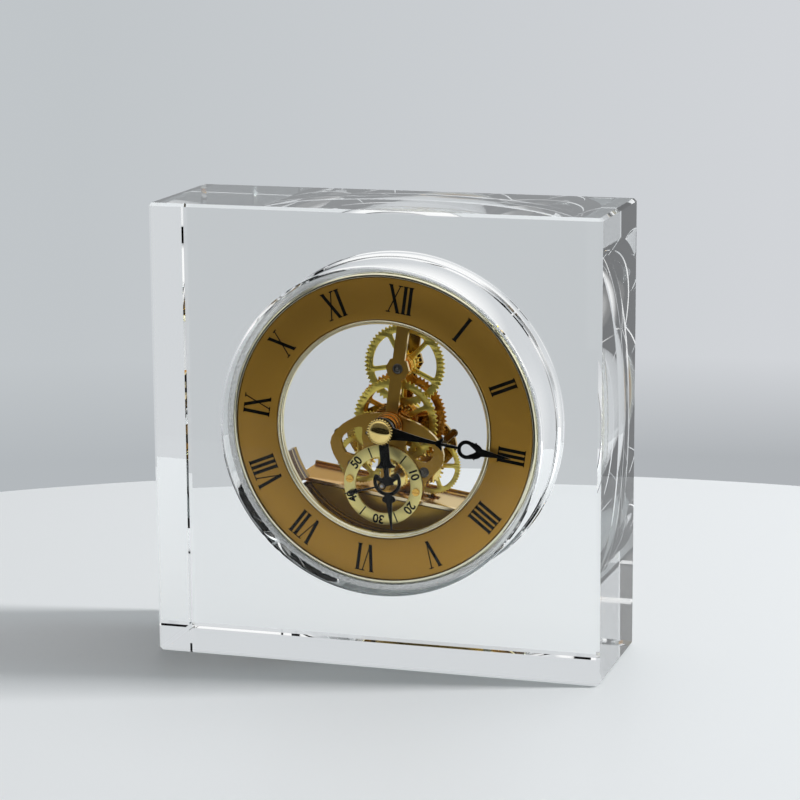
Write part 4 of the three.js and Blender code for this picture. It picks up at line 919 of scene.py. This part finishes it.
def shelf_gilt():
    """Polished rose gilt, painted darker towards the left and paler towards the right, a painted highlight
    of the light from the right; the lip at the back of the shelf is browner.
    """
    material, place = new_finish("polished_shelf_gilt")
    across, _, up = place.parts()
    rise = (across - arbor_line.x) * math.sin(INSERT_TURN) + (up - arbor_line.z) * math.cos(INSERT_TURN)
    lip = rise.above(SHELF_LIP * MM, 0.1 * MM)
    cloud = place.grain(45.0, 3.0)
    # Painted light: the polished face is darker to the left and paler to the right, towards the lamp.
    along = (across + 0.1 * MM * cloud).above(-22 * MM, 40 * MM)
    rose = along.blend((0.60, 0.40, 0.20, 1), (1.0, 0.87, 0.60, 1))
    put_on(place, {
        "Base Color": lip.blend(rose, (0.30, 0.17, 0.05, 1)), "Metallic": 1.0,
        "Specular Tint": (0.8, 0.6, 0.35, 1), "Roughness": cloud * 0.06 + 0.19,
    })
    return material


def housing_gilt():
    """Satin on the panel; the wall that curves round in front of it is polished, with painted shade and
    painted highlights as dark and bright bands across its depth.
    """
    material, place = new_finish("housing_gilt")
    depth = place.parts()[1]
    panel = depth.above(ring_front + PANEL_AT * MM, 0.1 * MM)
    cloud = place.grain(45.0, 3.0)
    satin = cloud.blend((0.47, 0.285, 0.05, 1), (0.51, 0.315, 0.055, 1))
    dark, bright = (0.10, 0.05, 0.015, 1), (0.95, 0.78, 0.48, 1)
    # Painted reflection on the curved wall: dark bands of painted shade and thin bright bands of painted
    # highlight, by depth.
    painted_reflection_bands = depth.node("ShaderNodeValToRGB", {"stops": [
        (0.22, bright), (0.25, dark), (0.50, dark), (0.53, bright), (0.57, dark), (0.78, dark),
        (0.81, bright), (0.84, dark)]}, {0: (depth - ring_front) / (12 * MM)})
    put_on(place, {
        "Base Color": panel.blend(painted_reflection_bands, satin), "Metallic": 1.0,
        "Roughness": panel * 0.26 + cloud * 0.04 + 0.1, "Normal": marks(place.grain(1500.0), 0.04),
    })
    return material


kept("shelf_plate", shelf_gilt(), 0.1)
housing_finish = housing_gilt()
kept("movement_housing", housing_finish, 0.12)
for name, start, end in (("left", 205, 222), ("right", 318, 335)):
    band = arc((0, 0), WALL_OUTER, start, end, 16) + arc((0, 0), WALL_INNER, end, start, 16)
    wall_end = flat("housing_end_" + name, [band], WALL_FRONT, WALL_LENGTH, 0.1)
    dressed(wall_end, housing_finish, "case", "copper_gilt")


# Rear cover, battery door and drive case: moulded in black plastic with a fine grain. Two steel screws
# hold the cover, and the door is clipped into it.
def moulding():
    material, place = new_finish("black_moulding")
    black = (0.018, 0.018, 0.02, 1)
    fine = place.grain(2600.0, 4.0)
    put_on(place, {
        "Base Color": place.grain(60.0).blend(black, shade(black, 1.35)), "Roughness": fine * 0.16 + 0.42,
        "Normal": marks(fine, 0.35, 0.0003),
    })
    return material


black_moulding = moulding()
kept("rear_cover", black_moulding, 0.15)
kept("battery_cover", black_moulding, 0.15)
kept("drive_unit", black_moulding, 0.15)
for side in ("left", "right"):
    kept("rear_screw_" + side, arbor_steel, 0.06)


# Quartz drive inside the housing: a lacquered board, a wound coil on its core, the crystal's can, the
# button cell and its sprung contacts.
def lacquered_board():
    material, place = new_finish("board_lacquer")
    tracks = place.node("ShaderNodeTexWave", {"wave_type": "BANDS", "bands_direction": "Z"}, {
        "Vector": place, "Scale": 260.0, "Distortion": 3.0, "Detail": 1.0}, output=1)
    line = tracks.above(0.55, 0.08)
    put_on(place, {
        "Base Color": line.blend((0.02, 0.10, 0.045, 1), (0.05, 0.19, 0.09, 1)),
        "Roughness": line * 0.1 + 0.25, "Coat Weight": 0.4, "Normal": marks(line, 0.3, 0.0001),
    })
    return material


def wound_wire():
    material, place = new_finish("wound_copper_wire")
    turns = place.node("ShaderNodeTexWave", {"wave_type": "BANDS", "bands_direction": "X"}, {
        "Vector": place, "Scale": 1600.0, "Distortion": 0.3}, output=1)
    put_on(place, {
        "Base Color": turns.blend((0.22, 0.06, 0.02, 1), (0.62, 0.24, 0.09, 1)), "Metallic": 0.8,
        "Roughness": turns * 0.1 + 0.28, "Normal": marks(turns, 0.6),
    })
    return material


kept("circuit_board", lacquered_board(), 0.05)
kept("drive_coil", wound_wire(), 0.1)
for node in ("coil_core", "quartz_can", "button_cell"):
    kept(node, arbor_steel, 0.12)
for node in ("minus_contact", "plus_contact"):
    kept(node, wheel_gilt, 0.05)


# Setting knob at the back: turned from brass, with a coined rim and a dished face. It is pushed on the
# end of the centre arbor.
COINS = 36
knob = turned("setting_knob_coined", [
    (0, 31.2), (3.2, 31.2), (3.5, 31.45), (4.2, 31.5), (4.45, 31.3), (4.5, 31.0), (4.5, 28.4),
    (4.35, 28.05), (4.2, 28.0), (1.2, 28.0), (1.2, 29.9), (0, 29.9)], facets=COINS * 4, angle=40,
    ripple=lambda i, radius: -0.25 * abs((i % 4) - 2) / 2 if radius > 4.3 else 0)
dressed(knob, wheel_gilt, "minute", "wheel_brass", "setting_knob")
